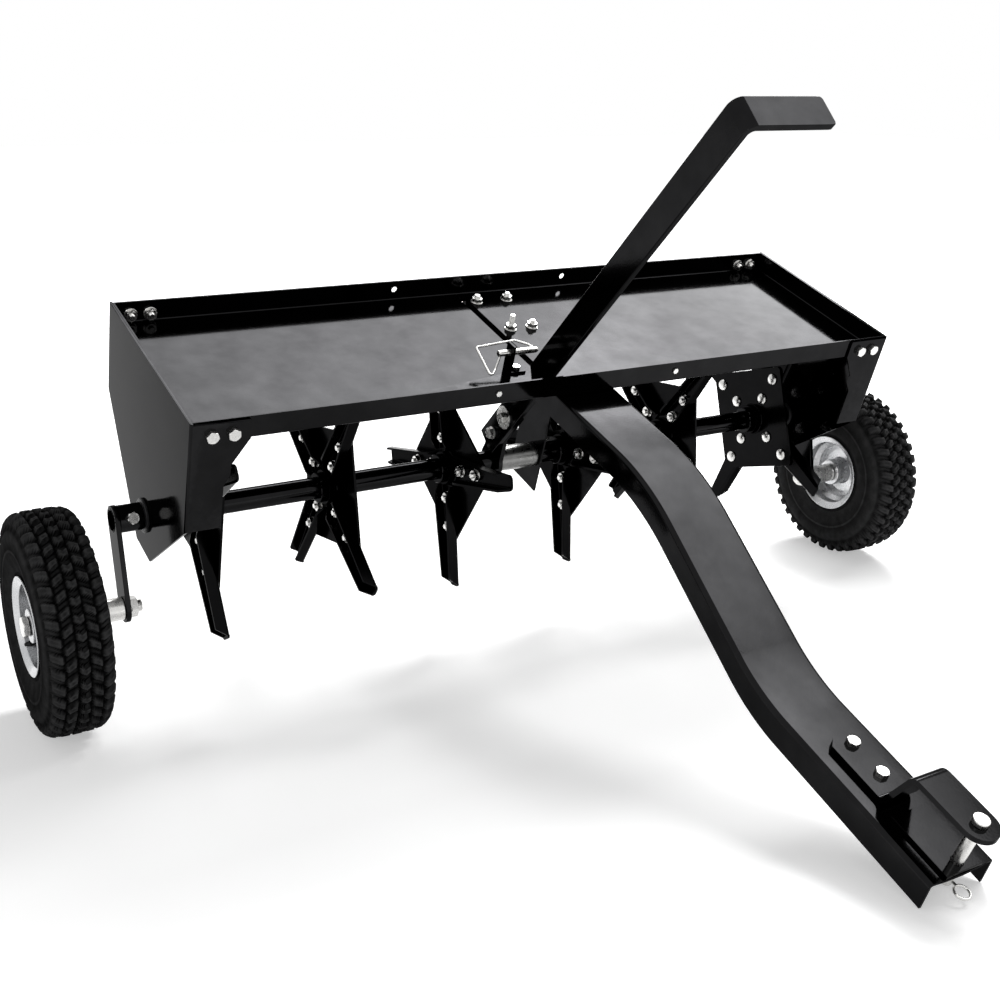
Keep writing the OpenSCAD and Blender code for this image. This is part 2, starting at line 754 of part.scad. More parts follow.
module left_wheel_bolt() color("silver") placed() wheel_bolt(-1);
module right_wheel_bolt() color("silver") placed() wheel_bolt(1);

/* Wheels */

tyre_side = tyre_w / 2;
tyre_wall = 9;
bead_half = 27;

// Half section of the tyre: radius along x, width along y
module tyre_half() {
    shoulder = 16;
    polygon(concat(
        [[rim_r + seat_gap, bead_half], [rim_r + 14, bead_half + 4]],
        fillet([rim_r + 14, bead_half + 4], [rim_r + 34, tyre_side], [wheel_r, tyre_side], 14),
        fillet([rim_r + 34, tyre_side], [wheel_r, tyre_side], [wheel_r, 0], shoulder),
        [[wheel_r, 0], [wheel_r - tyre_wall, 0], [wheel_r - tyre_wall, tyre_side - shoulder],
        [wheel_r - shoulder, tyre_side - tyre_wall], [rim_r + 34, tyre_side - tyre_wall],
        [rim_r + 16, bead_half - 5], [rim_r + seat_gap, bead_half - 9]]
    ));
}

module tyre(side) {
    translate([side * wheel_x, axle_y, axle_z]) rotate([0, 90, 0]) rotate_extrude($fn = 96) {
        tyre_half();
        mirror([0, 1]) tyre_half();
    }
}

module rim(side) {
    sheet = 2;
    lip = rim_r + 8;
    well = rim_r - 8;
    hub_out = hub_bore + 9;
    translate([side * wheel_x, axle_y, axle_z]) rotate([0, 90, 0]) rotate_extrude($fn = 96)
        for (end = [0, 1]) mirror([0, end]) {
            // Lip, bead seat and well
            polygon([
                [lip, bead_half + 7], [lip, bead_half + 5], [rim_r, bead_half + 1],
                [rim_r, 15], [well, 8], [well, 0], [well - sheet, 0], [well - sheet, 9],
                [rim_r - sheet, 16], [rim_r - sheet, bead_half + 2], [lip - sheet, bead_half + 7]
            ]);
            // Disc and hub tube
            translate([hub_bore + seat_gap, 0])
                square([well - hub_bore - sheet - seat_gap + 0.5, sheet]);
            translate([hub_bore + seat_gap, 0])
                square([hub_out - hub_bore - seat_gap, hub_half_l - 1]);
        }
}

module wheel_bush(side) {
    translate([side * wheel_x - hub_half_l, axle_y, axle_z])
        ring(hub_bore, axle_r + running_gap, 2 * hub_half_l);
}

module left_tyre() color("black") placed() tyre(-1);
module right_tyre() color("black") placed() tyre(1);
module left_rim() color("silver") placed() rim(-1);
module right_rim() color("silver") placed() rim(1);
module left_wheel_bush() color("black") placed() wheel_bush(-1);
module right_wheel_bush() color("black") placed() wheel_bush(1);

/* Stars */

// Frame of star i: +X outward along its first arm, +Z to the side of its nuts
module on_star(i) {
    translate([star_xs[i], tube_y, tube_z]) rotate([star_turns[i], 0, 0])
        rotate([90, 0, 90]) mirror([0, 0, star_sides[i] < 0 ? 1 : 0]) children();
}

module arm_bolt_places() {
    for (k = [0:3]) rotate([0, 0, 90 * k]) for (r = [spoon_bolt_in, spoon_bolt_out])
        translate([r, 0, 0]) children();
}

module star_plate(i) {
    trim = 6;
    r = star_corner_r;
    on_star(i) difference() {
        union() {
            translate([0, 0, -star_plate_t / 2]) linear_extrude(star_plate_t)
                polygon([for (k = [0:3]) for (s = [-1, 1])
                    [cos(90 * k) * (r - trim / 2) - sin(90 * k) * s * trim / 2,
                    sin(90 * k) * (r - trim / 2) + cos(90 * k) * s * trim / 2]]);
            translate([0, 0, -hub_l / 2]) cylinder(r = hub_r, h = hub_l);
        }
        translate([0, 0, -hub_l / 2 - 1]) cylinder(r = tube_run, h = hub_l + 2);
        arm_bolt_places() translate([0, 0, -star_plate_t]) cylinder(r = m8_hole_r, h = 2 * star_plate_t);
    }
}

spoon_from = hub_r + 2;
spoon_taper = atan((spoon_root_w - spoon_rim_w) / 2 / (spoon_rim - spoon_from));

// One spoon: web on z = 0, walls rising towards +Z, tip towards +X
module spoon() {
    difference() {
        linear_extrude(spoon_t) {
            polygon([[spoon_from, -spoon_root_w / 2], [spoon_rim, -spoon_rim_w / 2],
                [star_tip_r, -spoon_rim_side], [star_tip_r, spoon_rim_side],
                [spoon_rim, spoon_rim_w / 2], [spoon_from, spoon_root_w / 2]]);
            for (side = [-1, 1]) translate([spoon_rim, side * spoon_rim_side])
                circle(r = spoon_corner);
        }
        for (r = [spoon_bolt_in, spoon_bolt_out])
            translate([r, 0, -1]) cylinder(r = m8_hole_r, h = spoon_t + 2);
    }
    for (side = [0, 1]) mirror([0, side, 0])
        translate([spoon_from, spoon_root_w / 2, 0]) rotate([0, 0, -spoon_taper])
            rotate([90, 0, 0]) linear_extrude(spoon_t)
                polygon([[0, 0], [0, spoon_h * 0.6], [14, spoon_h],
                    [spoon_rim - spoon_from - 8, spoon_h], [spoon_rim - spoon_from + 2, spoon_t]]);
}

module star_spoons(i) {
    on_star(i) for (k = [0:3]) rotate([0, 0, 90 * k]) translate([0, 0, star_plate_t / 2]) spoon();
}

module star_bolts(i) {
    on_star(i) arm_bolt_places() translate([0, 0, -star_plate_t / 2])
        bolt(star_plate_t + spoon_t, m8_r, m8_hex_r, m8_nut_h, 3, true);
}

module star_part(i, kind) {
    placed() {
        if (kind == "plate") color("dimgray") star_plate(i);
        if (kind == "spoons") color("dimgray") star_spoons(i);
        if (kind == "bolts") color("silver") star_bolts(i);
    }
}

tray();
left_end_panel();
right_end_panel();
left_bushing();
right_bushing();
corner_bolts();
rail_bolts();
drawbar();
drawbar_bolts();
centre_support();
support_bolts();
hitch_strap();
hitch_wear_plate();
hitch_bolts();
lock_tab();
lock_tab_bolt();
lock_pin();
lock_bail();
hitch_pin();
hitch_clip();
transport_tube();
star_collars();
centre_sleeve();
lever();
lever_bracket();
lever_bolts();
left_arm();
right_arm();
left_clamp();
right_clamp();
clamp_bolts();
left_wheel_bolt();
right_wheel_bolt();
left_tyre();
left_rim();
left_wheel_bush();
right_tyre();
right_rim();
right_wheel_bush();
star_part(0, "plate");  // star_1_plate
star_part(0, "spoons");  // star_1_spoons
star_part(0, "bolts");  // star_1_bolts
star_part(1, "plate");  // star_2_plate
star_part(1, "spoons");  // star_2_spoons
star_part(1, "bolts");  // star_2_bolts
star_part(2, "plate");  // star_3_plate
star_part(2, "spoons");  // star_3_spoons
star_part(2, "bolts");  // star_3_bolts
star_part(3, "plate");  // star_4_plate
star_part(3, "spoons");  // star_4_spoons
star_part(3, "bolts");  // star_4_bolts
star_part(4, "plate");  // star_5_plate
star_part(4, "spoons");  // star_5_spoons
star_part(4, "bolts");  // star_5_bolts
star_part(5, "plate");  // star_6_plate
star_part(5, "spoons");  // star_6_spoons
star_part(5, "bolts");  // star_6_bolts
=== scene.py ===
import math

import bmesh
import bpy
from mathutils import Matrix, Vector, noise


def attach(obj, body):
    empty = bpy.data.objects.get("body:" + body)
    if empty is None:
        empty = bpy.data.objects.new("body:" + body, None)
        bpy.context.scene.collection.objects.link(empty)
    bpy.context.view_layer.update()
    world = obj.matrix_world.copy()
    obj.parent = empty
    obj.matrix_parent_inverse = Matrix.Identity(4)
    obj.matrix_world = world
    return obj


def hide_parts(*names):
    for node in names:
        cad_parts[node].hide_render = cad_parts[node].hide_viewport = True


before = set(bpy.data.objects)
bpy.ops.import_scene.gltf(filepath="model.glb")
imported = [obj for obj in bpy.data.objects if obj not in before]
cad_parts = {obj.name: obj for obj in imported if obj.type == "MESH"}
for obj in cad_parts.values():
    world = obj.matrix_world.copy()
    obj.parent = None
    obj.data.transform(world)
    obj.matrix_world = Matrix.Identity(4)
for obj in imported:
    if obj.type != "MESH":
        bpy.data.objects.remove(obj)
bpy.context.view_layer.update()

# The scene is drawn in millimetres in the level frame: origin at the middle of the tray's rim,
# +X to the right, +Y to the rear, +Z up. LEVEL stands it on its wheels and its drawbar tip, in metres.
MM = 0.001
PITCH = 18.374680850045344
STAND = (0, 277.3031888968587, 432.8730862801631)
TUBE = (0, -8, -205)
AXLE = (0, -57.1338, -298.5861)
NOSE_AT = (0, -836, -145.9387)

# Outer sizes of the tray and thickness of its sheet, and height of the small holes in its walls
TRAY_W, TRAY_D, TRAY_H, TRAY_T = 1016, 285, 28, 2
RAIL_Z = -12
PANEL_T = 3
BAR_W, BAR_H, BAR_T = 86.8, 32.5, 3
TUBE_R = 14
# Lever: place of its middle, width, thickness and height of the grip's top over the tube
LEVER_X, LEVER_OFF, LEVER_W, LEVER_T, LEVER_TOP = -35, 19, 38, 8, 667
# Wheel arms: distances of both faces from the middle, length between centres and radius of the ends
ARM_IN, ARM_OUT, ARM_L, ARM_R = 540.8, 546.8, 105.7, 17.5
WHEEL_X, WHEEL_R, RIM_R = 625, 131.5, 50.8
LUGS = 42
STAR_X = [-440, -267, -94, 94, 267, 440]
STAR_TURN = [42.5, 20, 64.7, 67.2, 22.9, 11.5]
STAR_SIDE = [-1, -1, -1, -1, -1, 1]
HUB_HALF, COLLAR_HALF, COLLAR_GAP = 12, 4.5, 0.3
# Radius, corner radius of the hexagon and nut height of each bolt size
M4, M6, M8 = (2, 4, 3), (3, 5.8, 5), (4, 7.5, 6.5)
HEX_N = 48


def T(x, y, z):
    return Matrix.Translation((x, y, z))


def RX(a):
    return Matrix.Rotation(math.radians(a), 4, "X")


def RY(a):
    return Matrix.Rotation(math.radians(a), 4, "Y")


def RZ(a):
    return Matrix.Rotation(math.radians(a), 4, "Z")


ID = Matrix.Identity(4)
MIRROR_X = Matrix.Diagonal((-1, 1, 1, 1))
MIRROR_Z = Matrix.Diagonal((1, 1, -1, 1))
LEVEL = Matrix.Scale(MM, 4) @ T(*STAND) @ RX(PITCH)
LIFT = T(*TUBE) @ RX(28.8)
ARMS = T(*TUBE) @ RX(-27.7)
NOSE = T(*NOSE_AT) @ RX(2.5)

# Materials


def material(name):
    m = bpy.data.materials.new(name)
    m.use_nodes = True
    t = m.node_tree
    return m, t, t.nodes["Principled BSDF"]


def add(t, kind, **values):
    n = t.nodes.new(kind)
    for k, v in values.items():
        if k in n.inputs:
            n.inputs[k].default_value = v
        else:
            setattr(n, k, v)
    return n


def noise_tex(t, scale, detail, rough=0.55):
    coord = add(t, "ShaderNodeTexCoord")
    n = add(t, "ShaderNodeTexNoise", Scale=scale, Detail=detail, Roughness=rough)
    t.links.new(coord.outputs["Object"], n.inputs["Vector"])
    return n.outputs["Fac"]


def ramp(t, fac, stops):
    r = add(t, "ShaderNodeValToRGB")
    e = r.color_ramp.elements
    while len(e) < len(stops):
        e.new(0.5)
    for el, (pos, c) in zip(e, stops):
        el.position = pos
        el.color = (*c, 1)
    t.links.new(fac, r.inputs["Fac"])
    return r.outputs["Color"]


def remap(t, value, start, stop, low, high, kind="LINEAR"):
    """Carries a value from the range start to stop over to the range low to high."""
    r = add(t, "ShaderNodeMapRange", interpolation_type=kind)
    for key, v in (("From Min", start), ("From Max", stop), ("To Min", low), ("To Max", high)):
        r.inputs[key].default_value = v
    t.links.new(value, r.inputs["Value"])
    return r.outputs["Result"]


def spread(t, fac, low, high):
    """Noise between two values."""
    return remap(t, fac, 0.3, 0.7, low, high)


def math_node(t, operation, a, b):
    n = add(t, "ShaderNodeMath", operation=operation)
    t.links.new(a, n.inputs[0])
    t.links.new(b, n.inputs[1])
    return n.outputs[0]


def bump(t, p, height, strength, distance):
    b = add(t, "ShaderNodeBump", Strength=strength, Distance=distance)
    t.links.new(height, b.inputs["Height"])
    t.links.new(b.outputs["Normal"], p.inputs["Normal"])


def paint(name, base, rough):
    """Gloss black powder coat that mirrors evenly at every angle, lighter on its sharp convex edges."""
    m, t, p = material(name)
    dust = noise_tex(t, 26, 6, 0.62)
    col = ramp(t, dust, [(0.35, base), (0.75, tuple(c * 1.35 for c in base))])
    geo = add(t, "ShaderNodeNewGeometry")
    grit = noise_tex(t, 140, 4, 0.7)
    edge = math_node(t, "MULTIPLY", geo.outputs["Pointiness"], spread(t, grit, 0.9, 1.06))
    # Sharp convex edges, found by pointiness, mix the base colour to a lighter grey
    sharp_edge_lightening = ramp(t, edge, [(0.575, (0, 0, 0)), (0.66, (0.1, 0.1, 0.1))])
    mix = add(t, "ShaderNodeMix", data_type="RGBA")
    t.links.new(sharp_edge_lightening, mix.inputs["Factor"])
    t.links.new(col, mix.inputs["A"])
    mix.inputs["B"].default_value = (0.06, 0.06, 0.063, 1)
    t.links.new(mix.outputs["Result"], p.inputs["Base Color"])
    t.links.new(spread(t, noise_tex(t, 9, 5), rough * 0.92, rough * 1.12), p.inputs["Roughness"])
    p.inputs["Metallic"].default_value = 1.0
    p.inputs["Specular Tint"].default_value = (0.50, 0.50, 0.50, 1)
    bump(t, p, noise_tex(t, 420, 2, 0.4), 0.02, 0.001)
    return m


def metal(name, light, dark, rough, scale, bumpy, metallic=1.0):
    """Cloudy bright metal between a light and a dark tone."""
    m, t, p = material(name)
    col = ramp(t, noise_tex(t, scale, 5, 0.6), [(0.3, dark), (0.7, light)])
    t.links.new(col, p.inputs["Base Color"])
    t.links.new(spread(t, noise_tex(t, scale * 3, 4), rough * 0.8, rough * 1.3), p.inputs["Roughness"])
    p.inputs["Metallic"].default_value = metallic
    bump(t, p, noise_tex(t, scale * 14, 3, 0.6), bumpy, 0.0006)
    return m


def rubber(name):
    """Matt rubber, paler on its convex edges, and darker in the grooves with painted shade."""
    m, t, p = material(name)
    col = ramp(t, noise_tex(t, 70, 6, 0.7), [(0.3, (0.012, 0.012, 0.0122)), (0.75, (0.026, 0.026, 0.0264))])
    geo = add(t, "ShaderNodeNewGeometry")
    # Pointiness scales the base colour: painted shade darkens the grooves, and the convex edges come out
    # paler
    groove_shade_edge_pale = remap(t, geo.outputs["Pointiness"], 0.45, 0.56, 0.15, 2.8, "SMOOTHSTEP")
    shade = add(t, "ShaderNodeVectorMath", operation="SCALE")
    t.links.new(col, shade.inputs[0])
    t.links.new(groove_shade_edge_pale, shade.inputs["Scale"])
    t.links.new(shade.outputs["Vector"], p.inputs["Base Color"])
    t.links.new(spread(t, noise_tex(t, 220, 4), 0.42, 0.6), p.inputs["Roughness"])
    p.inputs["Specular IOR Level"].default_value = 0.0
    bump(t, p, noise_tex(t, 1500, 3, 0.6), 0.15, 0.0006)
    return m


def plastic(name):
    """Dull black plastic."""
    m, t, p = material(name)
    col = ramp(t, noise_tex(t, 120, 4, 0.6), [(0.3, (0.008, 0.008, 0.0085)), (0.7, (0.014, 0.014, 0.015))])
    t.links.new(col, p.inputs["Base Color"])
    t.links.new(spread(t, noise_tex(t, 300, 3), 0.35, 0.5), p.inputs["Roughness"])
    p.inputs["Specular IOR Level"].default_value = 0.18
    bump(t, p, noise_tex(t, 900, 2, 0.5), 0.06, 0.0005)
    return m


PAINT = paint("black_paint", (0.0118, 0.0118, 0.0122), 0.09)
LEVER_PAINT = paint("lever_paint", (0.0118, 0.0118, 0.0122), 0.11)
STAR_PAINT = paint("star_paint", (0.0050, 0.0050, 0.0052), 0.17)
ZINC = metal("zinc_plate", (0.70, 0.69, 0.67), (0.60, 0.60, 0.59), 0.26, 60, 0.03)
# Darker copy of the zinc for the centre sleeve: painted shade, so that it renders darker than the bolts
SHADED_SLEEVE_ZINC = metal("shaded_sleeve_zinc", (0.22, 0.22, 0.215), (0.17, 0.17, 0.168), 0.30, 60, 0.03)
RIM = metal("rim_paint", (0.60, 0.60, 0.61), (0.47, 0.48, 0.49), 0.28, 40, 0.05, 0.85)
RUBBER = rubber("tyre_rubber")
PLASTIC = plastic("bush_plastic")
LOOKS = {
    "black_paint": PAINT, "lever_paint": LEVER_PAINT, "star_paint": STAR_PAINT,
    "zinc_plate": ZINC, "rim_paint": RIM, "tyre_rubber": RUBBER, "bush_plastic": PLASTIC,
}

# Meshes


def weight_normals(obj):
    obj.modifiers.new("normals", "WEIGHTED_NORMAL").keep_sharp = True


class Form:
    """A mesh in millimetres, in the level frame."""

    def __init__(self):
        self.bm = bmesh.new()

    def put(self, points, faces, place=ID):
        verts = [self.bm.verts.new(place @ Vector(p)) for p in points]
        flip = place.to_3x3().determinant() < 0
        for f in faces:
            self.bm.faces.new([verts[i] for i in (reversed(f) if flip else f)])

    def loft(self, rings, place=ID, along=False):
        """Rings of equally many points, joined in order and capped, or closed to a loop if along.

        Faces look outward when a ring runs counter-clockwise seen from the last ring."""
        n = len(rings[0])
        points = [p for ring in rings for p in ring]
        faces = []
        last = len(rings) if along else len(rings) - 1
        for i in range(last):
            a, b = i * n, ((i + 1) % len(rings)) * n
            for j in range(n):
                k = (j + 1) % n
                faces.append((a + j, a + k, b + k, b + j))
        if not along:
            faces.append(tuple(reversed(range(n))))
            faces.append(tuple(range((len(rings) - 1) * n, len(rings) * n)))
        self.put(points, faces, place)

    def lathe(self, profile, place, n, closed=False):
        """Profile of (radius, z) turned about Z in n steps.

        It runs from low to high on the outside, and on down the inside if closed."""
        rings = [[(r * math.cos(2 * math.pi * j / n), r * math.sin(2 * math.pi * j / n), z)
                  for j in range(n)] for r, z in profile]
        self.loft(rings, place, closed)

    def tube(self, path, r, place=ID, n=12):
        """Round wire of n sides along a path of points."""
        pts = [Vector(p) for p in path]
        rings = []
        up = Vector((0.31, 0.17, 0.94))
        side = None
        for i, p in enumerate(pts):
            way = (pts[min(i + 1, len(pts) - 1)] - pts[max(i - 1, 0)]).normalized()
            if side is None:
                side = way.cross(up).normalized()
            side = (side - way * side.dot(way)).normalized()
            other = way.cross(side)
            rings.append([p + r * (math.cos(2 * math.pi * j / n) * side
                                   + math.sin(2 * math.pi * j / n) * other) for j in range(n)])
        self.loft(rings, place)

    def bevel(self, width, angle, segments=2, keep=None):
        """Rounds the edges sharper than an angle, or those of them that keep() picks."""
        bm = self.bm
        bm.normal_update()
        edges = [e for e in bm.edges
                 if len(e.link_faces) == 2 and e.calc_face_angle(0) > math.radians(angle)
                 and (keep is None or keep(e))]
        if edges:
            bmesh.ops.bevel(bm, geom=edges, offset=width, segments=segments, profile=0.5,
                            affect="EDGES", clamp_overlap=True)

    def outward(self):
        bmesh.ops.recalc_face_normals(self.bm, faces=self.bm.faces)

    def finish(self, name, body, look, nodes=(), sharp=38, weighted=True):
        """Makes the piece, riding on its body in place of the CAD nodes."""
        bm = self.bm
        bmesh.ops.transform(bm, matrix=LEVEL, verts=bm.verts)
        bm.normal_update()
        for f in bm.faces:
            f.smooth = True
        for e in bm.edges:
            e.smooth = len(e.link_faces) == 2 and e.calc_face_angle(0) < math.radians(sharp)
        me = bpy.data.meshes.new(name)
        bm.to_mesh(me)
        bm.free()
        me.materials.append(LOOKS[look])
        obj = bpy.data.objects.new(name, me)
        bpy.context.scene.collection.objects.link(obj)
        if weighted:
            weight_normals(obj)
        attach(obj, body)
        if nodes:
            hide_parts(*nodes)
        return obj


def fillet(a, p, b, r, n=6):
    """Points of an arc of radius r in place of the corner p."""
    a, p, b = Vector(a), Vector(p), Vector(b)
    u, v = (a - p).normalized(), (b - p).normalized()
    half = u.angle(v) / 2
    reach = r / math.tan(half)
    mid = p + (u + v).normalized() * (r / math.sin(half))
    start, stop = p + u * reach - mid, p + v * reach - mid
    out = []
    whole = start.angle(stop)
    for i in range(n + 1):
        k = i / n
        w = (math.sin((1 - k) * whole) * start + math.sin(k * whole) * stop) / math.sin(whole)
        out.append(mid + w)
    return out


def route(points, r, n=6):
    """Path through the points with its corners rounded."""
    out = [Vector(points[0])]
    for a, p, b in zip(points, points[1:], points[2:]):
        out += fillet(a, p, b, r, n)
    out.append(Vector(points[-1]))
    return out


def cad(node, folds=(), small=0.5):
    """The node's own solid, its folded edges rounded first and the rest broken by a small bevel.

    A fold is a test of an edge's middle and direction, the radius and the number of segments."""
    form = Form()
    bm = form.bm
    bm.from_mesh(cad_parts[node].data)
    bmesh.ops.transform(bm, matrix=LEVEL.inverted(), verts=bm.verts)
    bmesh.ops.remove_doubles(bm, verts=bm.verts, dist=0.01)
    bmesh.ops.dissolve_limit(bm, angle_limit=math.radians(1), verts=bm.verts, edges=bm.edges)
    for test, r, segments in folds:
        form.bevel(r, 20, segments, keep=lambda e: test((e.verts[0].co + e.verts[1].co) / 2,
                                                        e.verts[1].co - e.verts[0].co))
    form.bevel(small, 33)
    return form


# Fasteners


def hex_body(form, place, r, h, low=True):
    """Hexagon of corner radius r from z = 0 to h, its corners chamfered at h, and at 0 if low."""
    cut, deep = 0.13, 0.08 * r
    steps = [0, 0.35, 0.7, 1]
    levels = [(deep * s, r * (1 - cut * (1 - s) ** 1.3)) for s in steps]
    levels = (levels if low else [(0, r)]) + [(h - z, q) for z, q in reversed(levels)]
    rings = []
    for z, limit in levels:
        ring = []
        for j in range(HEX_N):
            a = 2 * math.pi * j / HEX_N
            flat = r * math.cos(math.pi / 6) / math.cos(a % (math.pi / 3) - math.pi / 6)
            q = min(flat, limit)
            ring.append((q * math.cos(a), q * math.sin(a), z))
        rings.append(ring)
    # Flat top, sunk a little in the middle
    rings.append([(x * 0.9, y * 0.9, h) for x, y, z in rings[-1]])
    rings.append([(x * 0.86, y * 0.86, h - 0.15) for x, y, z in rings[-1]])
    form.loft(rings, place)


def thread(form, place, r, z0, z1, pitch=1.25, n=20):
    """Screw thread from z0 to its chamfered end at z1."""
    rings = []
    steps = max(4, int((z1 - z0) / (pitch / 4)))
    for i in range(steps + 1):
        z = z0 + (z1 - z0) * i / steps
        ring = []
        for j in range(n):
            f = (z / pitch - j / n) % 1
            q = r - 0.55 * abs(2 * f - 1)
            q = min(q, r - 0.9 * max(0, 1 - (z1 - z) / 1.1))
            ring.append((q * math.cos(2 * math.pi * j / n), q * math.sin(2 * math.pi * j / n), z))
        rings.append(ring)
    form.loft(rings, place)


def washer(form, place, r, bore, h):
    """Flat ring with broken edges."""
    b = min(0.35, h / 3)
    form.lathe([(bore, 0), (r - b, 0), (r, b), (r, h - b), (r - b, h), (bore, h)], place, 36, True)


def bolt(form, place, grip, size, tail=3, round_head=False):
    """Bolt along +Z: the head's underside at z = 0, washer and nut at z = grip, tail past the nut."""
    r, hex_r, nut_h = size
    head, washer_h = nut_h * 0.8, 1.3
    if round_head:
        big = hex_r + 1
        dome = [(big * math.cos(a), -0.9 - (head - 0.9) * math.sin(a))
                for a in [math.radians(d) for d in (80, 65, 50, 36, 22, 9)]]
        form.lathe([(0.6, -head)] + dome + [(big, -0.7), (big - 0.2, 0), (r, 0)], place, 32)
    else:
        hex_body(form, place @ RX(180), hex_r, head, low=False)
    thread(form, place, r, grip - 0.5, grip + nut_h + tail)
    washer(form, place @ T(0, 0, grip), hex_r + 0.9, r, washer_h)
    hex_body(form, place @ T(0, 0, grip + washer_h), hex_r, nut_h - washer_h)


def fasteners():
    """All bolts of the frame and the lift. Each head or nut is turned its own way."""
    f = Form()
    for side in (-1, 1):
        for inset in (24, 48):
            for end in (-1, 1):
                at = T(side * (TRAY_W / 2 - inset), end * TRAY_D / 2, -17) @ RX(end * 90)
                bolt(f, at @ RZ(13 * inset), PANEL_T + TRAY_T, M8)
    f.finish("corner_bolt_set", "frame", "zinc_plate", ["corner_bolts"], 30)

    f = Form()
    for x in (-132, 132):
        bolt(f, T(x, PANEL_T - TRAY_D / 2, RAIL_Z) @ RX(-90), TRAY_T, M4)
    f.finish("rail_bolt_set", "frame", "zinc_plate", ["rail_bolts"], 30)

    f = Form()
    for i, (bx, by) in enumerate(((23.5, 110), (16.5, 30))):
        for side in (-1, 1):
            # The nut at the front left sits on a long bolt
            tail = 14 if i == 1 and side < 0 else 4
            at = T(3.5 + side * bx, by, -TRAY_H - BAR_T) @ RZ(20 + 31 * i + 17 * side)
            bolt(f, at, BAR_T + TRAY_T, M8, tail, True)
    f.finish("drawbar_bolt_set", "frame", "zinc_plate", ["drawbar_bolts"], 30)

    f = Form()
    for y in (-6, 22):
        bolt(f, T(BAR_W / 2, y, -47.5) @ RY(-90), 6, M6)
    f.finish("support_bolt_set", "frame", "zinc_plate", ["support_bolts"], 30)

    f = Form()
    for y in (121.5, 164.5):
        bolt(f, NOSE @ T(3, y, 6) @ RX(180) @ RZ(9 + y), 9.1, M8)
    f.finish("hitch_bolt_set", "frame", "zinc_plate", ["hitch_bolts"], 30)

    f = Form()
    bolt(f, T(-66, -72, -23) @ RX(180), 5, M6, 2)
    f.finish("lock_tab_bolt_set", "frame", "zinc_plate", ["lock_tab_bolt"], 30)

    f = Form()
    for z, washer_r in ((45, 8.5), (85, 15.5)):
        at = LIFT @ T(LEVER_X - 6.5, LEVER_OFF, z) @ RY(90)
        bolt(f, at @ RZ(z), 16.5, M8)
        washer(f, at, washer_r, 4.2, 2.4)
    f.finish("lever_bolt_set", "lift", "zinc_plate", ["lever_bolts"], 30)

    # Clamp bolts: head and a little shank over the ring
    f = Form()
    for side in (-1, 1):
        at = T(side * 526.55, TUBE[1], TUBE[2]) @ RX(-32) @ T(0, -16.5, 0) @ RX(-90)
        hex_body(f, at @ RX(180) @ RZ(12), *M8[1:])
        f.lathe([(3.9, -0.5), (3.9, 2)], at, 24)
    f.finish("clamp_bolt_set", "lift", "zinc_plate", ["clamp_bolts"], 30)

    # Wheel bolts, along +X on the left side: head, shank, washer and nut at the arm, spacer on the other face
    shank_r, hex_r = 8, 13
    for name, flip in (("left", ID), ("right", MIRROR_X)):
        f = Form()
        at = flip @ T(0, AXLE[1], AXLE[2]) @ RY(90)
        hex_body(f, at @ T(0, 0, -655.3) @ RX(180) @ RZ(17), hex_r, 6.7)
        f.lathe([(shank_r, -656), (shank_r, -545)], at, 32)
        washer(f, at @ T(0, 0, -ARM_IN), 12.5, shank_r, 1.6)
        hex_body(f, at @ T(0, 0, 1.6 - ARM_IN) @ RZ(9), hex_r, 8.4)
        thread(f, at, shank_r, -541, -524.8, 2.0, 28)
        a, b, chamfer, big = -594.7, -ARM_OUT, 0.8, 14
        f.lathe([(8.1, a), (big - chamfer, a), (big, a + chamfer), (big, b - chamfer), (big - chamfer, b),
                 (8.1, b)], at, 40, True)
        f.finish(name + "_axle_set", "lift", "zinc_plate", [name + "_wheel_bolt"], 30)


# Tray and ends


def cut_box(obj, low, high, operation="DIFFERENCE"):
    """Cuts a box out of the piece's mesh, or adds it with UNION."""
    bm = bmesh.new()
    bmesh.ops.create_cube(bm, size=1)
    mid = [(a + b) / 2 for a, b in zip(low, high)]
    size = [b - a for a, b in zip(low, high)]
    bmesh.ops.transform(bm, matrix=LEVEL @ T(*mid) @ Matrix.Diagonal((*size, 1)), verts=bm.verts)
    me = bpy.data.meshes.new("cutter")
    bm.to_mesh(me)
    bm.free()
    cutter = bpy.data.objects.new("cutter", me)
    bpy.context.scene.collection.objects.link(cutter)
    mod = obj.modifiers.new("cut", "BOOLEAN")
    mod.object = cutter
    mod.operation = operation
    mod.solver = "EXACT"
    deps = bpy.context.evaluated_depsgraph_get()
    done = bpy.data.meshes.new_from_object(obj.evaluated_get(deps))
    obj.modifiers.remove(mod)
    obj.data = done
    bpy.data.objects.remove(cutter)


def near(a, b):
    return abs(a - b) < 0.6


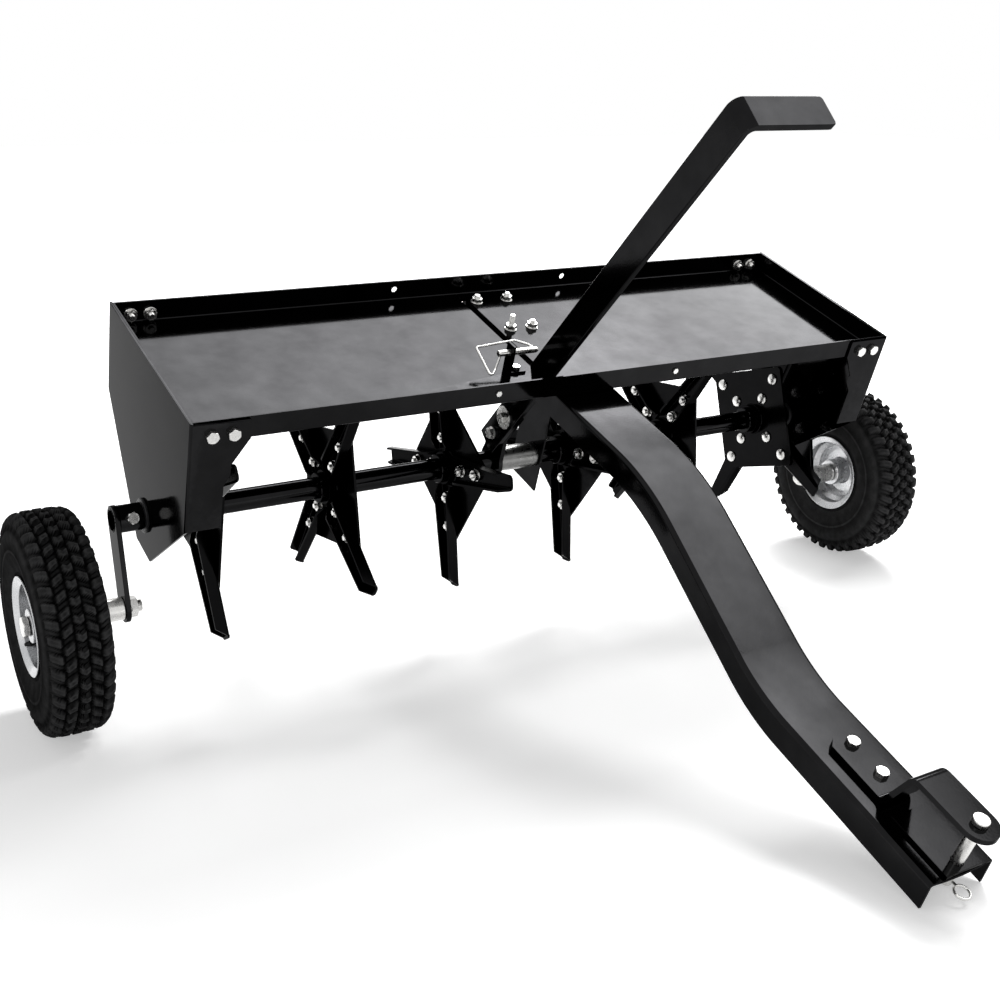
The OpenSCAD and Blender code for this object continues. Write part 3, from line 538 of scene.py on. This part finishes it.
def tray_and_ends():
    """Tray, end panels, bearings of the tube and centre support."""
    x0, y0, z0 = TRAY_W / 2 - PANEL_T, TRAY_D / 2 - PANEL_T, -TRAY_H
    x1, y1, z1 = x0 - TRAY_T, y0 - TRAY_T, z0 + TRAY_T
    # Outer and inner fold from floor to walls
    folds = (
        (lambda m, d: near(m.z, z0) and (near(abs(m.x), x0) or near(abs(m.y), y0)), 3.4, 4),
        (lambda m, d: near(m.z, z1) and (near(abs(m.x), x1) or near(abs(m.y), y1)), 1.6, 3),
    )
    pan = cad("tray", folds, 0.45).finish("tray_pan", "frame", "black_paint", ["tray"])
    # The photograph has two spare holes in the rear wall, and the solid's outer two are closed here
    for x in (-299, 299):
        cut_box(pan, (x - 6, y1, RAIL_Z - 6), (x + 6, y0, RAIL_Z + 6), "UNION")
    # Outer and inner fold of the end panels round the tray's corners
    folds = (
        (lambda m, d: near(abs(m.x), TRAY_W / 2) and near(abs(m.y), TRAY_D / 2) and abs(d.z) > 20, 4.6, 5),
        (lambda m, d: near(abs(m.x), x0) and near(abs(m.y), y0) and abs(d.z) > 20, 1.8, 4),
    )
    for name, flip in (("left", ID), ("right", MIRROR_X)):
        f = cad(name + "_end_panel", folds, 0.6)
        f.finish(name + "_end_sheet", "frame", "black_paint", [name + "_end_panel"])
        # Bearing: flange with rounded rim and a barrel with a chamfer
        f = Form()
        bore = TUBE_R + 0.3
        f.lathe([(bore, -4), (19, -4), (20.4, -3.4), (21, -2.4), (21, -0.6), (20.4, 0), (18, 0), (18, 5.4),
                 (16.8, 7), (bore, 7)], flip @ T(-TRAY_W / 2, TUBE[1], TUBE[2]) @ RY(90), 56, True)
        f.finish(name + "_bearing", "frame", "bush_plastic", [name + "_bushing"], 30)
    cad("centre_support").finish("centre_support_plate", "frame", "black_paint", ["centre_support"])


# Drawbar


def bar_line():
    """Line of the web's upper face, as (y, z): level under the tray, sloping, and level again."""
    top, slope = -TRAY_H, math.tan(math.radians(23))
    rear, a, b, front = (138, top, 0), (-324, top, 0), (-575, top - (575 - 324) * slope, 0), (*NOSE_AT[1:], 0)
    pts = [Vector((y, top)) for y in (138, 125, 122, 60, 0, -60, -108, -114, -200)]
    for corner, radius in (((rear, a, b), 308), ((a, b, front), 250)):
        pts += [p.to_2d() for p in fillet(*corner, radius, 16)]
    last, tip = pts[-1], Vector(front[:2])
    pts += [last.lerp(tip, k) for k in (0.25, 0.5, 0.75, 0.9, 0.97, 1)]
    return pts


def channel_ring(w, h, t, r):
    """Channel open downward: (x, z) up the outer side, over the web and down, and back on the inside."""
    out = [(-w / 2, -h), (-w / 2, -r)]
    out += [(-w / 2 + r - r * math.cos(a), -r + r * math.sin(a))
            for a in [math.radians(d) for d in (15, 30, 45, 60, 75)]]
    out += [(-w / 2 + r, 0), (-w / 4, 0), (0, 0)]
    out += [(-x, z) for x, z in reversed(out[:-1])]
    q = max(r - t, 0.4)
    ins = [(w / 2 - t, -h), (w / 2 - t, -t - q)]
    ins += [(w / 2 - t - q + q * math.cos(a), -t - q + q * math.sin(a))
            for a in [math.radians(d) for d in (15, 30, 45, 60, 75)]]
    ins += [(w / 2 - t - q, -t), (w / 4, -t), (0, -t)]
    ins += [(-x, z) for x, z in reversed(ins[:-1])]
    return out + ins


def drawbar():
    """Channel along the bent line, slotted for the lever."""
    f = Form()
    rings = []
    for y, z in bar_line():
        # The fold's radius grows in front of the tray
        r = 2.8 + 2.4 * min(1, max(0, (-118 - y) / 60))
        rings.append([(u, y, z + v) for u, v in channel_ring(BAR_W, BAR_H, BAR_T, r)])
    # The front edge bows forward in the middle
    rings[-1] = [(x, y + 2.2 * (x / (BAR_W / 2)) ** 2, z) for x, y, z in rings[-1]]
    f.loft(rings)
    f.outward()
    f.bevel(0.5, 50, 2)
    obj = f.finish("drawbar_channel", "frame", "black_paint", ["drawbar"], weighted=False)
    # Slot for the lever, and a black sheet hung down along its right side and a little past its ends, put
    # there as painted shade: it hides the floor seen through the slot
    front, rear, right = -112.3, 124.4, -29.8
    cut_box(obj, (-40.3, front, -40), (right, rear, -20))
    weight_normals(obj)
    f = Form()
    x0, x1, z0, z1 = right + 0.1, right + 1.5, -43, -26.4
    f.loft([[(x0, y, z1), (x0, y, z0), (x1, y, z0), (x1, y, z1)] for y in (front - 4.7, rear + 5.1)])
    f.outward()
    f.bevel(0.3, 50, 2)
    f.finish("slot_shade_lip", "frame", "black_paint")


# Hitch


def hitch():
    """Strap, wear plate, pin and clip."""
    cad("hitch_strap", small=0.9).finish("hitch_strap_bar", "frame", "black_paint", ["hitch_strap"])
    f = cad("hitch_wear_plate", small=0.7)
    f.finish("hitch_wear_sheet", "frame", "black_paint", ["hitch_wear_plate"])
    # Pin: shank with a chamfered end, and a flat head
    f = Form()
    at = NOSE @ T(0, 12, 0)
    low, top = -27, 57
    f.lathe([(4.6, low), (5.6, low + 0.9), (6.3, low + 2.6), (6.3, top)], at, 40)
    f.lathe([(7.4, top + 0.2), (8.2, top + 0.5), (8.5, top + 1.2), (8.5, top + 4.6), (8.1, top + 5.7),
             (7.2, top + 6.2)], at, 40)
    f.finish("hitch_pin_rod", "hitch_pin", "zinc_plate", ["hitch_pin"], 40)
    # Spring clip: straight leg through the pin and a round bow in front of it
    f = Form()
    bow = 8
    path = [(0, 14, 0), (0, 0, 0)]
    path += [(bow * math.sin(math.radians(a)), -11.3 - bow + bow * math.cos(math.radians(a)), 0)
             for a in range(0, 341, 12)]
    f.tube(path, 1.5, at @ T(0, 0, -19))
    f.finish("hitch_clip_wire", "hitch_clip", "zinc_plate", ["hitch_clip"], 40)


# Lock


def lock():
    """Tab, pin and bail."""
    cad("lock_tab", small=0.6).finish("lock_tab_angle", "frame", "black_paint", ["lock_tab"])
    # Pin along +X, its tip next to the lever
    f = Form()
    end, tip = -96.3, -39.3
    f.lathe([(3.2, end), (4, end + 0.8), (4, tip - 3), (2.6, tip)], T(0, -72, 1) @ RY(90), 32)
    f.finish("lock_pin_rod", "lock", "zinc_plate", ["lock_pin"], 40)
    # Bail: from the pin's outer end round the tab and back to its inner end
    f = Form()
    x0, x1 = end + 4, end + 50
    path = route([(x0, -72, -1), (x0 - 12, -84, -13), (x0 - 23, -94, -17), (x0 - 23, -50, 0),
                  (x1 - 14, -50, 4), (x1 - 2, -63, 4), (x1 + 2, -68, 3)], 2.5, 5)
    f.tube(path, 1.4)
    f.finish("lock_bail_wire", "lock", "zinc_plate", ["lock_bail"], 40)


# Lift


def weld(form, place, r, size, n, seed):
    """Rippled bead of n steps round a circle of radius r in the place's XY plane."""
    rings = []
    for i in range(n):
        a = math.radians(360 * i / n)
        q = size * (1 + 0.18 * math.sin(i * 2.1) + 0.12 * noise.noise((seed, i * 0.3, 0)))
        ring = []
        for j in range(8):
            b = 2 * math.pi * j / 8
            ring.append(((r + q * math.cos(b)) * math.cos(a), (r + q * math.cos(b)) * math.sin(a),
                         q * math.sin(b)))
        rings.append(ring)
    form.loft(rings, place, along=True)


def pipes():
    """Tube, collars and sleeve."""
    at = T(*TUBE) @ RY(90)
    f = Form()
    end, b = ARM_OUT, 0.6
    f.lathe([(TUBE_R - b, -end), (TUBE_R, b - end), (TUBE_R, end - b), (TUBE_R - b, end)], at, 56)
    f.finish("transport_pipe", "lift", "black_paint", ["transport_tube"], 40)

    bore = TUBE_R + 0.05
    f = Form()
    for x in STAR_X:
        for side in (-1, 1):
            mid = x + side * (HUB_HALF + COLLAR_GAP + COLLAR_HALF)
            a, b = mid - COLLAR_HALF, mid + COLLAR_HALF
            f.lathe([(bore, a), (18.2, a), (19, a + 0.8), (19, b - 0.8), (18.2, b), (bore, b)], at, 48, True)
    f.finish("star_collar_set", "lift", "black_paint", ["star_collars"], 30)

    # Sleeve with a groove near its right end
    f = Form()
    a, b = -24, 37.1
    f.lathe([(bore, a), (16.4, a), (17, a + 0.6), (17, b - 9), (16.7, b - 8.6), (16.7, b - 8.2),
             (17, b - 7.8), (17, b - 0.6), (16.4, b), (bore, b)], at, 56, True)
    sleeve = f.finish("centre_sleeve_tube", "lift", "zinc_plate", ["centre_sleeve"], 40)
    # The sleeve takes the darker copy of the zinc, painted shade
    sleeve.data.materials[0] = SHADED_SLEEVE_ZINC


def lever():
    """Flat bar bent over at the top into a flat grip, and its bracket."""
    f = Form()
    top, grip_end, soft = LEVER_TOP - LEVER_T / 2, 77, 5
    path = [(LEVER_X, z) for z in (20, 60, 120, 300, 480)]
    path += [p.to_2d() for p in fillet((LEVER_X, 0, 0), (LEVER_X, top, 0), (100, top, 0), 10, 10)]
    path += [(x, top) for x in (-10, 30, 60, grip_end - 8, grip_end - 3, grip_end - 1, grip_end)]
    rings = []
    for i, (x, z) in enumerate(path):
        p, q = path[max(i - 1, 0)], path[min(i + 1, len(path) - 1)]
        way = Vector((q[0] - p[0], q[1] - p[1])).normalized()
        # Corners of the grip's end are rounded
        left = grip_end - x
        cut = 3.2 * (1 - math.sqrt(max(0, 1 - (1 - left / soft) ** 2))) if left <= soft else 0
        ring = []
        c = 1.3
        half_w, half_t = LEVER_W / 2 - cut, LEVER_T / 2
        for sy, st, turn in ((-1, -1, 180), (1, -1, 270), (1, 1, 0), (-1, 1, 90)):
            for k in range(4):
                a = math.radians(turn + 30 * k)
                u = sy * (half_w - c) + c * math.cos(a)
                v = st * (half_t - c) + c * math.sin(a)
                ring.append((x + way.y * v, LEVER_OFF + u, z - way.x * v))
        rings.append(ring)
    f.loft(rings, LIFT)
    f.outward()
    f.finish("lever_bar", "lift", "lever_paint", ["lever"], 50)

    f = cad("lever_bracket", small=0.6)
    weld(f, LIFT @ T(LEVER_X + 10, 0, 0) @ RY(90), 15, 1.5, 72, 3.0)
    f.finish("lever_bracket_plate", "lift", "lever_paint", ["lever_bracket"])


def half_ring(start, drop):
    """Half a circle of the arm's end, as (y, z), from an angle on, below the tube."""
    return [(ARM_R * math.cos(a), ARM_R * math.sin(a) - drop)
            for a in [math.radians(start + 7.5 * k) for k in range(25)]]


def arms():
    """Wheel arms with their weld at the tube, and clamp rings."""
    for name, side, flip, back in (("left", -1, ID, MIRROR_X), ("right", 1, MIRROR_X, ID)):
        f = Form()
        outline = half_ring(0, 0) + half_ring(180, ARM_L)
        f.loft([[(x, y, z) for y, z in outline] for x in (-ARM_OUT, -ARM_IN)], flip @ ARMS)
        f.outward()
        f.bevel(0.7, 50)
        at = T(side * ARM_OUT, TUBE[1], TUBE[2]) @ RY(side * 90)
        weld(f, at @ T(0, 0, -0.8), 13.4, 1.4, 60, 5.0 + side)
        f.finish(name + "_arm_bar", "lift", "black_paint", [name + "_arm"])
        f = Form()
        bore, a, b = TUBE_R + 0.05, 512.3, ARM_IN
        f.lathe([(bore, a), (15.6, a), (16.5, a + 0.9), (16.5, b - 0.9), (15.6, b), (bore, b)],
                back @ T(*TUBE) @ RY(90), 56, True)
        f.finish(name + "_clamp_ring", "lift", "black_paint", [name + "_clamp"])


# Wheels

# Middle, half width, stagger, lean and length of each row of blocks in the tread
ROWS = ((0, 6.0, 0, 0.7, 0.5), (13.6, 5.6, 0.5, -0.6, 0.5), (28.2, 7.2, 0, 0.4, 0.54))


def smooth(a, b, x):
    k = min(1, max(0, (x - a) / (b - a)))
    return k * k * (3 - 2 * k)


def tread(s, x):
    """Depth of the tread at arc length s and place x across: 0 on a block, 1 in a groove."""
    period = 2 * math.pi * WHEEL_R / LUGS
    best = 0
    for mid, wide, stagger, lean, long in ROWS:
        off = abs(x) - mid
        skew = abs(off) if mid == 0 else off
        v = abs((s / period + stagger + lean * skew / period) % 1 - 0.5) * period
        best = max(best, smooth(-0.4, 0.9, wide - abs(off)) * smooth(-0.4, 0.9, long * period / 2 - v))
    return 1 - best


def wheel_place(side):
    return T(side * WHEEL_X, AXLE[1], AXLE[2])


def tyre(name, side):
    """Tyre with its tread. Profiles are (radius, x, how much tread)."""
    # Half of the outer side, from the bead up to the crown
    half = [
        (50.95, 18, 0), (50.95, 26.6, 0), (56, 28.6, 0), (60, 30.6, 0), (62.5, 31.0, 0), (64, 32.2, 0),
        (68, 33.4, 0), (74, 35.0, 0), (80, 36.6, 0), (86, 37.6, 0), (87, 38.1, 0), (89, 38.1, 0),
        (90, 37.7, 0), (96, 37.9, 0), (103, 37.9, 0), (108, 37.8, 0.15), (112, 37.6, 0.5), (115.6, 37.2, 0.9),
        (119, 36.2, 1), (122, 34.8, 1), (124.8, 33.0, 1), (127.2, 30.6, 1), (128.8, 28.2, 1),
        (129.9, 25.6, 1), (130.4, 23.2, 1), (130.7, 21, 1), (130.9, 19.2, 1), (131, 17.8, 1), (131.1, 16, 1),
        (131.2, 14, 1), (131.3, 12, 1), (131.35, 10, 1), (131.4, 8.2, 1), (131.45, 6.4, 1), (131.5, 4.4, 1),
        (131.5, 2.2, 1), (131.5, 0, 1),
    ]
    profile = half + [(r, -x, d) for r, x, d in reversed(half[:-1])]
    inner = [(50.95, -14, 0), (66, -22, 0), (85, -29, 0), (110, -29, 0), (119, -22, 0), (122, 0, 0),
             (119, 22, 0), (110, 29, 0), (85, 29, 0), (66, 22, 0), (50.95, 14, 0)]
    # Depth of the grooves on the crown and on the shoulder, and how far they go inward there
    crown_deep, shoulder_deep, inward = 6.4, 4.0, 2.6
    n = LUGS * 14
    rings = []
    for i in range(n):
        a = 2 * math.pi * i / n
        ring = []
        for r, x, d in profile:
            q, z = r, x
            if d:
                deep = tread(a * WHEEL_R, x) * d
                # Sink along the surface normal: down on the crown, inward on the shoulder
                k = smooth(24, 37, abs(x))
                q = r - deep * (crown_deep * (1 - k) + shoulder_deep * k)
                z = x - math.copysign(deep * inward * k, x)
            ring.append((z, q * math.cos(a), q * math.sin(a)))
        for r, x, d in inner:
            ring.append((x, r * math.cos(a), r * math.sin(a)))
        rings.append(ring)
    f = Form()
    f.loft(rings, wheel_place(side), along=True)
    f.outward()
    f.finish(name + "_tyre_tread", name + "_wheel", "tyre_rubber", [name + "_tyre"], 55, weighted=False)


def rim(name, side):
    """Rim of two pressed halves with its hub, valve and bearing."""
    f = Form()
    at = wheel_place(side) @ RY(90)
    lip, well, bore, hub = RIM_R + 8, RIM_R - 8, 11.05, 20
    for flip in (ID, MIRROR_Z):
        f.lathe([
            (well - 2, 0), (well, 0.05), (well, 7.2), (well + 1.2, 9), (RIM_R - 1, 14), (RIM_R, 15.4),
            (RIM_R, 27.2), (RIM_R + 1.2, 28.2), (lip - 2, 31.4), (lip - 0.6, 32.2), (lip, 33),
            (lip - 0.2, 33.8), (lip - 1, 34), (lip - 2, 33.6), (lip - 3.4, 32.4), (RIM_R - 1, 29.6),
            (RIM_R - 2, 28.4), (RIM_R - 2, 16.4), (RIM_R - 2.6, 15), (well - 1.2, 10.2), (well - 2, 8.6)
        ], at @ flip, 96, True)
        # Disc with a pressed ring, and hub tube
        f.lathe([
            (bore, 0), (well - 1.6, 0), (well - 1.6, 1.9), (well - 6, 2), (well - 8, 2.5), (well - 11, 2.5),
            (well - 13, 2), (hub + 2.2, 2), (hub + 1, 2.8), (hub, 4.4), (hub, 28.2), (hub - 0.8, 29),
            (bore + 0.8, 29), (bore, 28.2)
        ], at @ flip, 72, True)
    f.finish(name + "_rim_pressing", name + "_wheel", "rim_paint", [name + "_rim"], 34)
    # Valve through the well, pointing outward
    f = Form()
    va = wheel_place(side) @ RX(205) @ T(side * 10, 0, 40) @ RY(side * 58)
    f.lathe([(3.6, -8), (3.9, -6), (3.9, 3), (3.2, 5), (2.7, 6), (2.7, 15)], va, 24)
    f.lathe([(2.7, 15), (3.3, 15.2), (3.3, 21), (2.6, 22)], va, 24)
    f.finish(name + "_valve", name + "_wheel", "tyre_rubber", (), 34)
    f = Form()
    f.lathe([(8.3, -30), (10.2, -30), (11, -29.2), (11, 29.2), (10.2, 30), (8.3, 30)], at, 40, True)
    f.finish(name + "_wheel_bearing", name + "_wheel", "bush_plastic", [name + "_wheel_bush"], 34)


# Stars


def spoon(form, place):
    """Channel-shaped plug spoon: web on z = 0, walls up, cut off on a slant at the tip towards +X."""
    # Along the spoon: its start, the start of the slant and of the rounded corners of radius corner
    start, slant, end, corner, wall, t = 24, 151, 159, 5, 16, 3
    xs = [start, 25, 31, 38, 60, 85, 110, 130, 145, slant, 154, 157, end]
    xs += [end + corner * math.sin(math.radians(a)) for a in (20, 40, 60, 80)]
    rings = []
    for x in xs:
        # Half width, narrowing to the rounded tip, and height of the walls
        hw = 18 - (x - start) / 135 * 7
        if x > end:
            hw = 6 + math.sqrt(corner ** 2 - (x - end) ** 2)
        if x < 38:
            h = 9.6 + 6.4 * (x - start) / 14
        elif x < slant:
            h = wall
        else:
            h = max(t, wall - 13 * (x - slant) / 10)
        # Outer side with fold radius r, and inner side with radius q and half width iw
        r = min(4.6, hw * 0.9, max(h - 0.4, 0.5))
        ring = [(-hw, h), (-hw, (h + r) / 2)]
        ring += [(-hw + r - r * math.cos(a), r - r * math.sin(a))
                 for a in [math.radians(d) for d in (0, 22.5, 45, 67.5, 90)]]
        ring += [(0, 0)]
        ring += [(-y, z) for y, z in reversed(ring[:-1])]
        iw = max(hw - t, hw * 0.2)
        q = min(max(r - t, 0.8), iw * 0.9)
        deep = h > t + q
        ins = [(iw, h), (iw, (h + t + q) / 2 if deep else t)]
        ins += [(iw - q + q * math.cos(a), t + q - q * math.sin(a) if deep else t)
                for a in [math.radians(d) for d in (0, 30, 60, 90)]]
        ins += [(0, t)]
        ins += [(-y, z) for y, z in reversed(ins[:-1])]
        rings.append([(x, y, z) for y, z in ring + ins])
    form.loft(rings, place)


def on_star(i):
    """Place of a star: its plate in the XY plane, the first spoon towards +X."""
    m = T(STAR_X[i], TUBE[1], TUBE[2]) @ RX(STAR_TURN[i]) @ RZ(90) @ RX(90)
    return m @ MIRROR_Z if STAR_SIDE[i] < 0 else m


def star(i):
    """Plate with its two welds, four spoons and eight bolts."""
    name = "star_%d" % (i + 1)
    at = on_star(i)
    f = cad(name + "_plate")
    for z in (1.8, -1.8):
        weld(f, at @ T(0, 0, z), 22.3, 1.3, 72, i + z)
    f.finish(name + "_square", name, "star_paint", [name + "_plate"])
    f = Form()
    for k in range(4):
        spoon(f, at @ RZ(90 * k) @ T(0, 0, 1.5))
    bmesh.ops.remove_doubles(f.bm, verts=f.bm.verts, dist=0.002)
    f.outward()
    f.bevel(0.5, 50, 2)
    f.finish(name + "_spoon_set", name, "star_paint", [name + "_spoons"], 40)
    f = Form()
    for k in range(4):
        for j, r in enumerate((41, 80)):
            bolt(f, at @ RZ(90 * k) @ T(r, 0, -1.5) @ RZ(17 * k + 29 * j + 11 * i), 6, M8, 3, True)
    f.finish(name + "_bolt_set", name, "zinc_plate", [name + "_bolts"], 30)


# Stage


def white_for_lens(t, socket, own, strength=None):
    """White to camera, glossy and transmission rays, or their own strength, and its own light to the rest."""
    path = add(t, "ShaderNodeLightPath").outputs
    lens = math_node(t, "MAXIMUM", path["Is Camera Ray"], path["Is Transmission Ray"])
    out = remap(t, math_node(t, "MAXIMUM", path["Is Glossy Ray"], lens), 0, 1, own, 1)
    if strength:
        t.links.new(strength, out.node.inputs["To Max"])
    t.links.new(out, socket)


def softbox(name, at, aim, along, size_x, size_y, low, high, foot=1.0):
    """Flat lamp at a place, its radiance rising from low to high along its long side.

    Its lower edge is dimmed to the foot's share."""
    lamp = bpy.data.lights.new(name, "AREA")
    lamp.shape = "RECTANGLE"
    lamp.size, lamp.size_y = size_x, size_y
    lamp.energy = high * size_x * size_y * math.pi
    lamp.use_nodes = True
    t = lamp.node_tree
    geo = add(t, "ShaderNodeNewGeometry")
    parts = add(t, "ShaderNodeSeparateXYZ")
    t.links.new(geo.outputs["Parametric"], parts.inputs[0])
    rise = remap(t, parts.outputs["X"], 0, 1, low / high, 1)
    edge = remap(t, parts.outputs["Y"], 0.1, 0.35, foot, 1)
    t.links.new(math_node(t, "MULTIPLY", rise, edge), t.nodes["Emission"].inputs["Strength"])
    obj = bpy.data.objects.new(name, lamp)
    back = (Vector(at) - Vector(aim)).normalized()
    side = Vector(along)
    side = (side - back * side.dot(back)).normalized()
    place = Matrix((side, back.cross(side), back)).transposed().to_4x4()
    place.translation = at
    obj.matrix_world = place
    bpy.context.scene.collection.objects.link(obj)


def stage():
    """White studio: world, floor and lamps."""
    world = bpy.data.worlds.new("studio")
    bpy.context.scene.world = world
    world.use_nodes = True
    t = world.node_tree
    bg = t.nodes["Background"]
    bg.inputs["Color"].default_value = (1, 1, 1, 1)
    white_for_lens(t, bg.inputs["Strength"], 0.30)

    me = bpy.data.meshes.new("floor")
    # Half the floor's side, in metres
    s = 14
    me.from_pydata([(-s, -s, 0), (s, -s, 0), (s, s, 0), (-s, s, 0)], [], [(0, 1, 2, 3)])
    floor = bpy.data.objects.new("floor", me)
    bpy.context.scene.collection.objects.link(floor)
    m, t, p = material("floor_paper")
    p.inputs["Base Color"].default_value = (0.86, 0.86, 0.86, 1)
    p.inputs["Roughness"].default_value = 0.9
    p.inputs["Specular IOR Level"].default_value = 0.1
    p.inputs["Emission Color"].default_value = (1, 1, 1, 1)
    # The far floor glows up to white where the lamps no longer reach it
    geo = add(t, "ShaderNodeNewGeometry")
    far = add(t, "ShaderNodeVectorMath", operation="LENGTH")
    t.links.new(geo.outputs["Position"], far.inputs[0])
    glow = remap(t, far.outputs["Value"], 1.0, 4.5, 0.42, 1.0, "SMOOTHSTEP")
    white_for_lens(t, p.inputs["Emission Strength"], 0.0, glow)
    me.materials.append(m)

    # Softboxes where the tray's floor, then the drawbar and the grip, mirror them
    softbox("tray_box", (1.9, 2.55, 3.0), (0, 0.3, 0.4), (0.93, -0.26, -0.25), 3.1, 0.75, 12, 31)
    softbox("bar_box", (2.45, 0.45, 3.32), (0, 0.1, 0.25), (-0.02, 1, 0.05), 4.2, 1.1, 5.6, 15, 0.42)
    softbox("side_box", (-2.6, -1.6, 1.8), (0, 0, 0.3), (1, 0, 0), 0.8, 0.8, 4, 4)


def camera():
    """The photograph's camera, its focal length fitted in the photograph's pixels."""
    data = bpy.data.cameras.new("lens")
    focal, photo_w, sensor = 1330.5, 1000, 36
    data.sensor_width = sensor
    data.lens = focal / photo_w * sensor
    obj = bpy.data.objects.new("lens", data)
    bpy.context.scene.collection.objects.link(obj)
    turn = RX(PITCH).to_3x3()
    eye = LEVEL @ Vector((-932.5, -1267.9, 733.9))
    ahead = (turn @ Vector((0.500, 0.676, -0.542))).normalized()
    right = turn @ Vector((0.8529, -0.4929, 0.1720))
    right = (right - ahead * right.dot(ahead)).normalized()
    up = right.cross(ahead)
    m = Matrix((right, up, -ahead)).transposed().to_4x4()
    m.translation = eye
    obj.matrix_world = m
    bpy.context.scene.camera = obj


fasteners()
tray_and_ends()
drawbar()
hitch()
lock()
pipes()
lever()
arms()
for wheel, wheel_side in (("left", -1), ("right", 1)):
    tyre(wheel, wheel_side)
    rim(wheel, wheel_side)
for index in range(len(STAR_X)):
    star(index)
stage()
camera()
bpy.context.scene.view_settings.view_transform = "Standard"
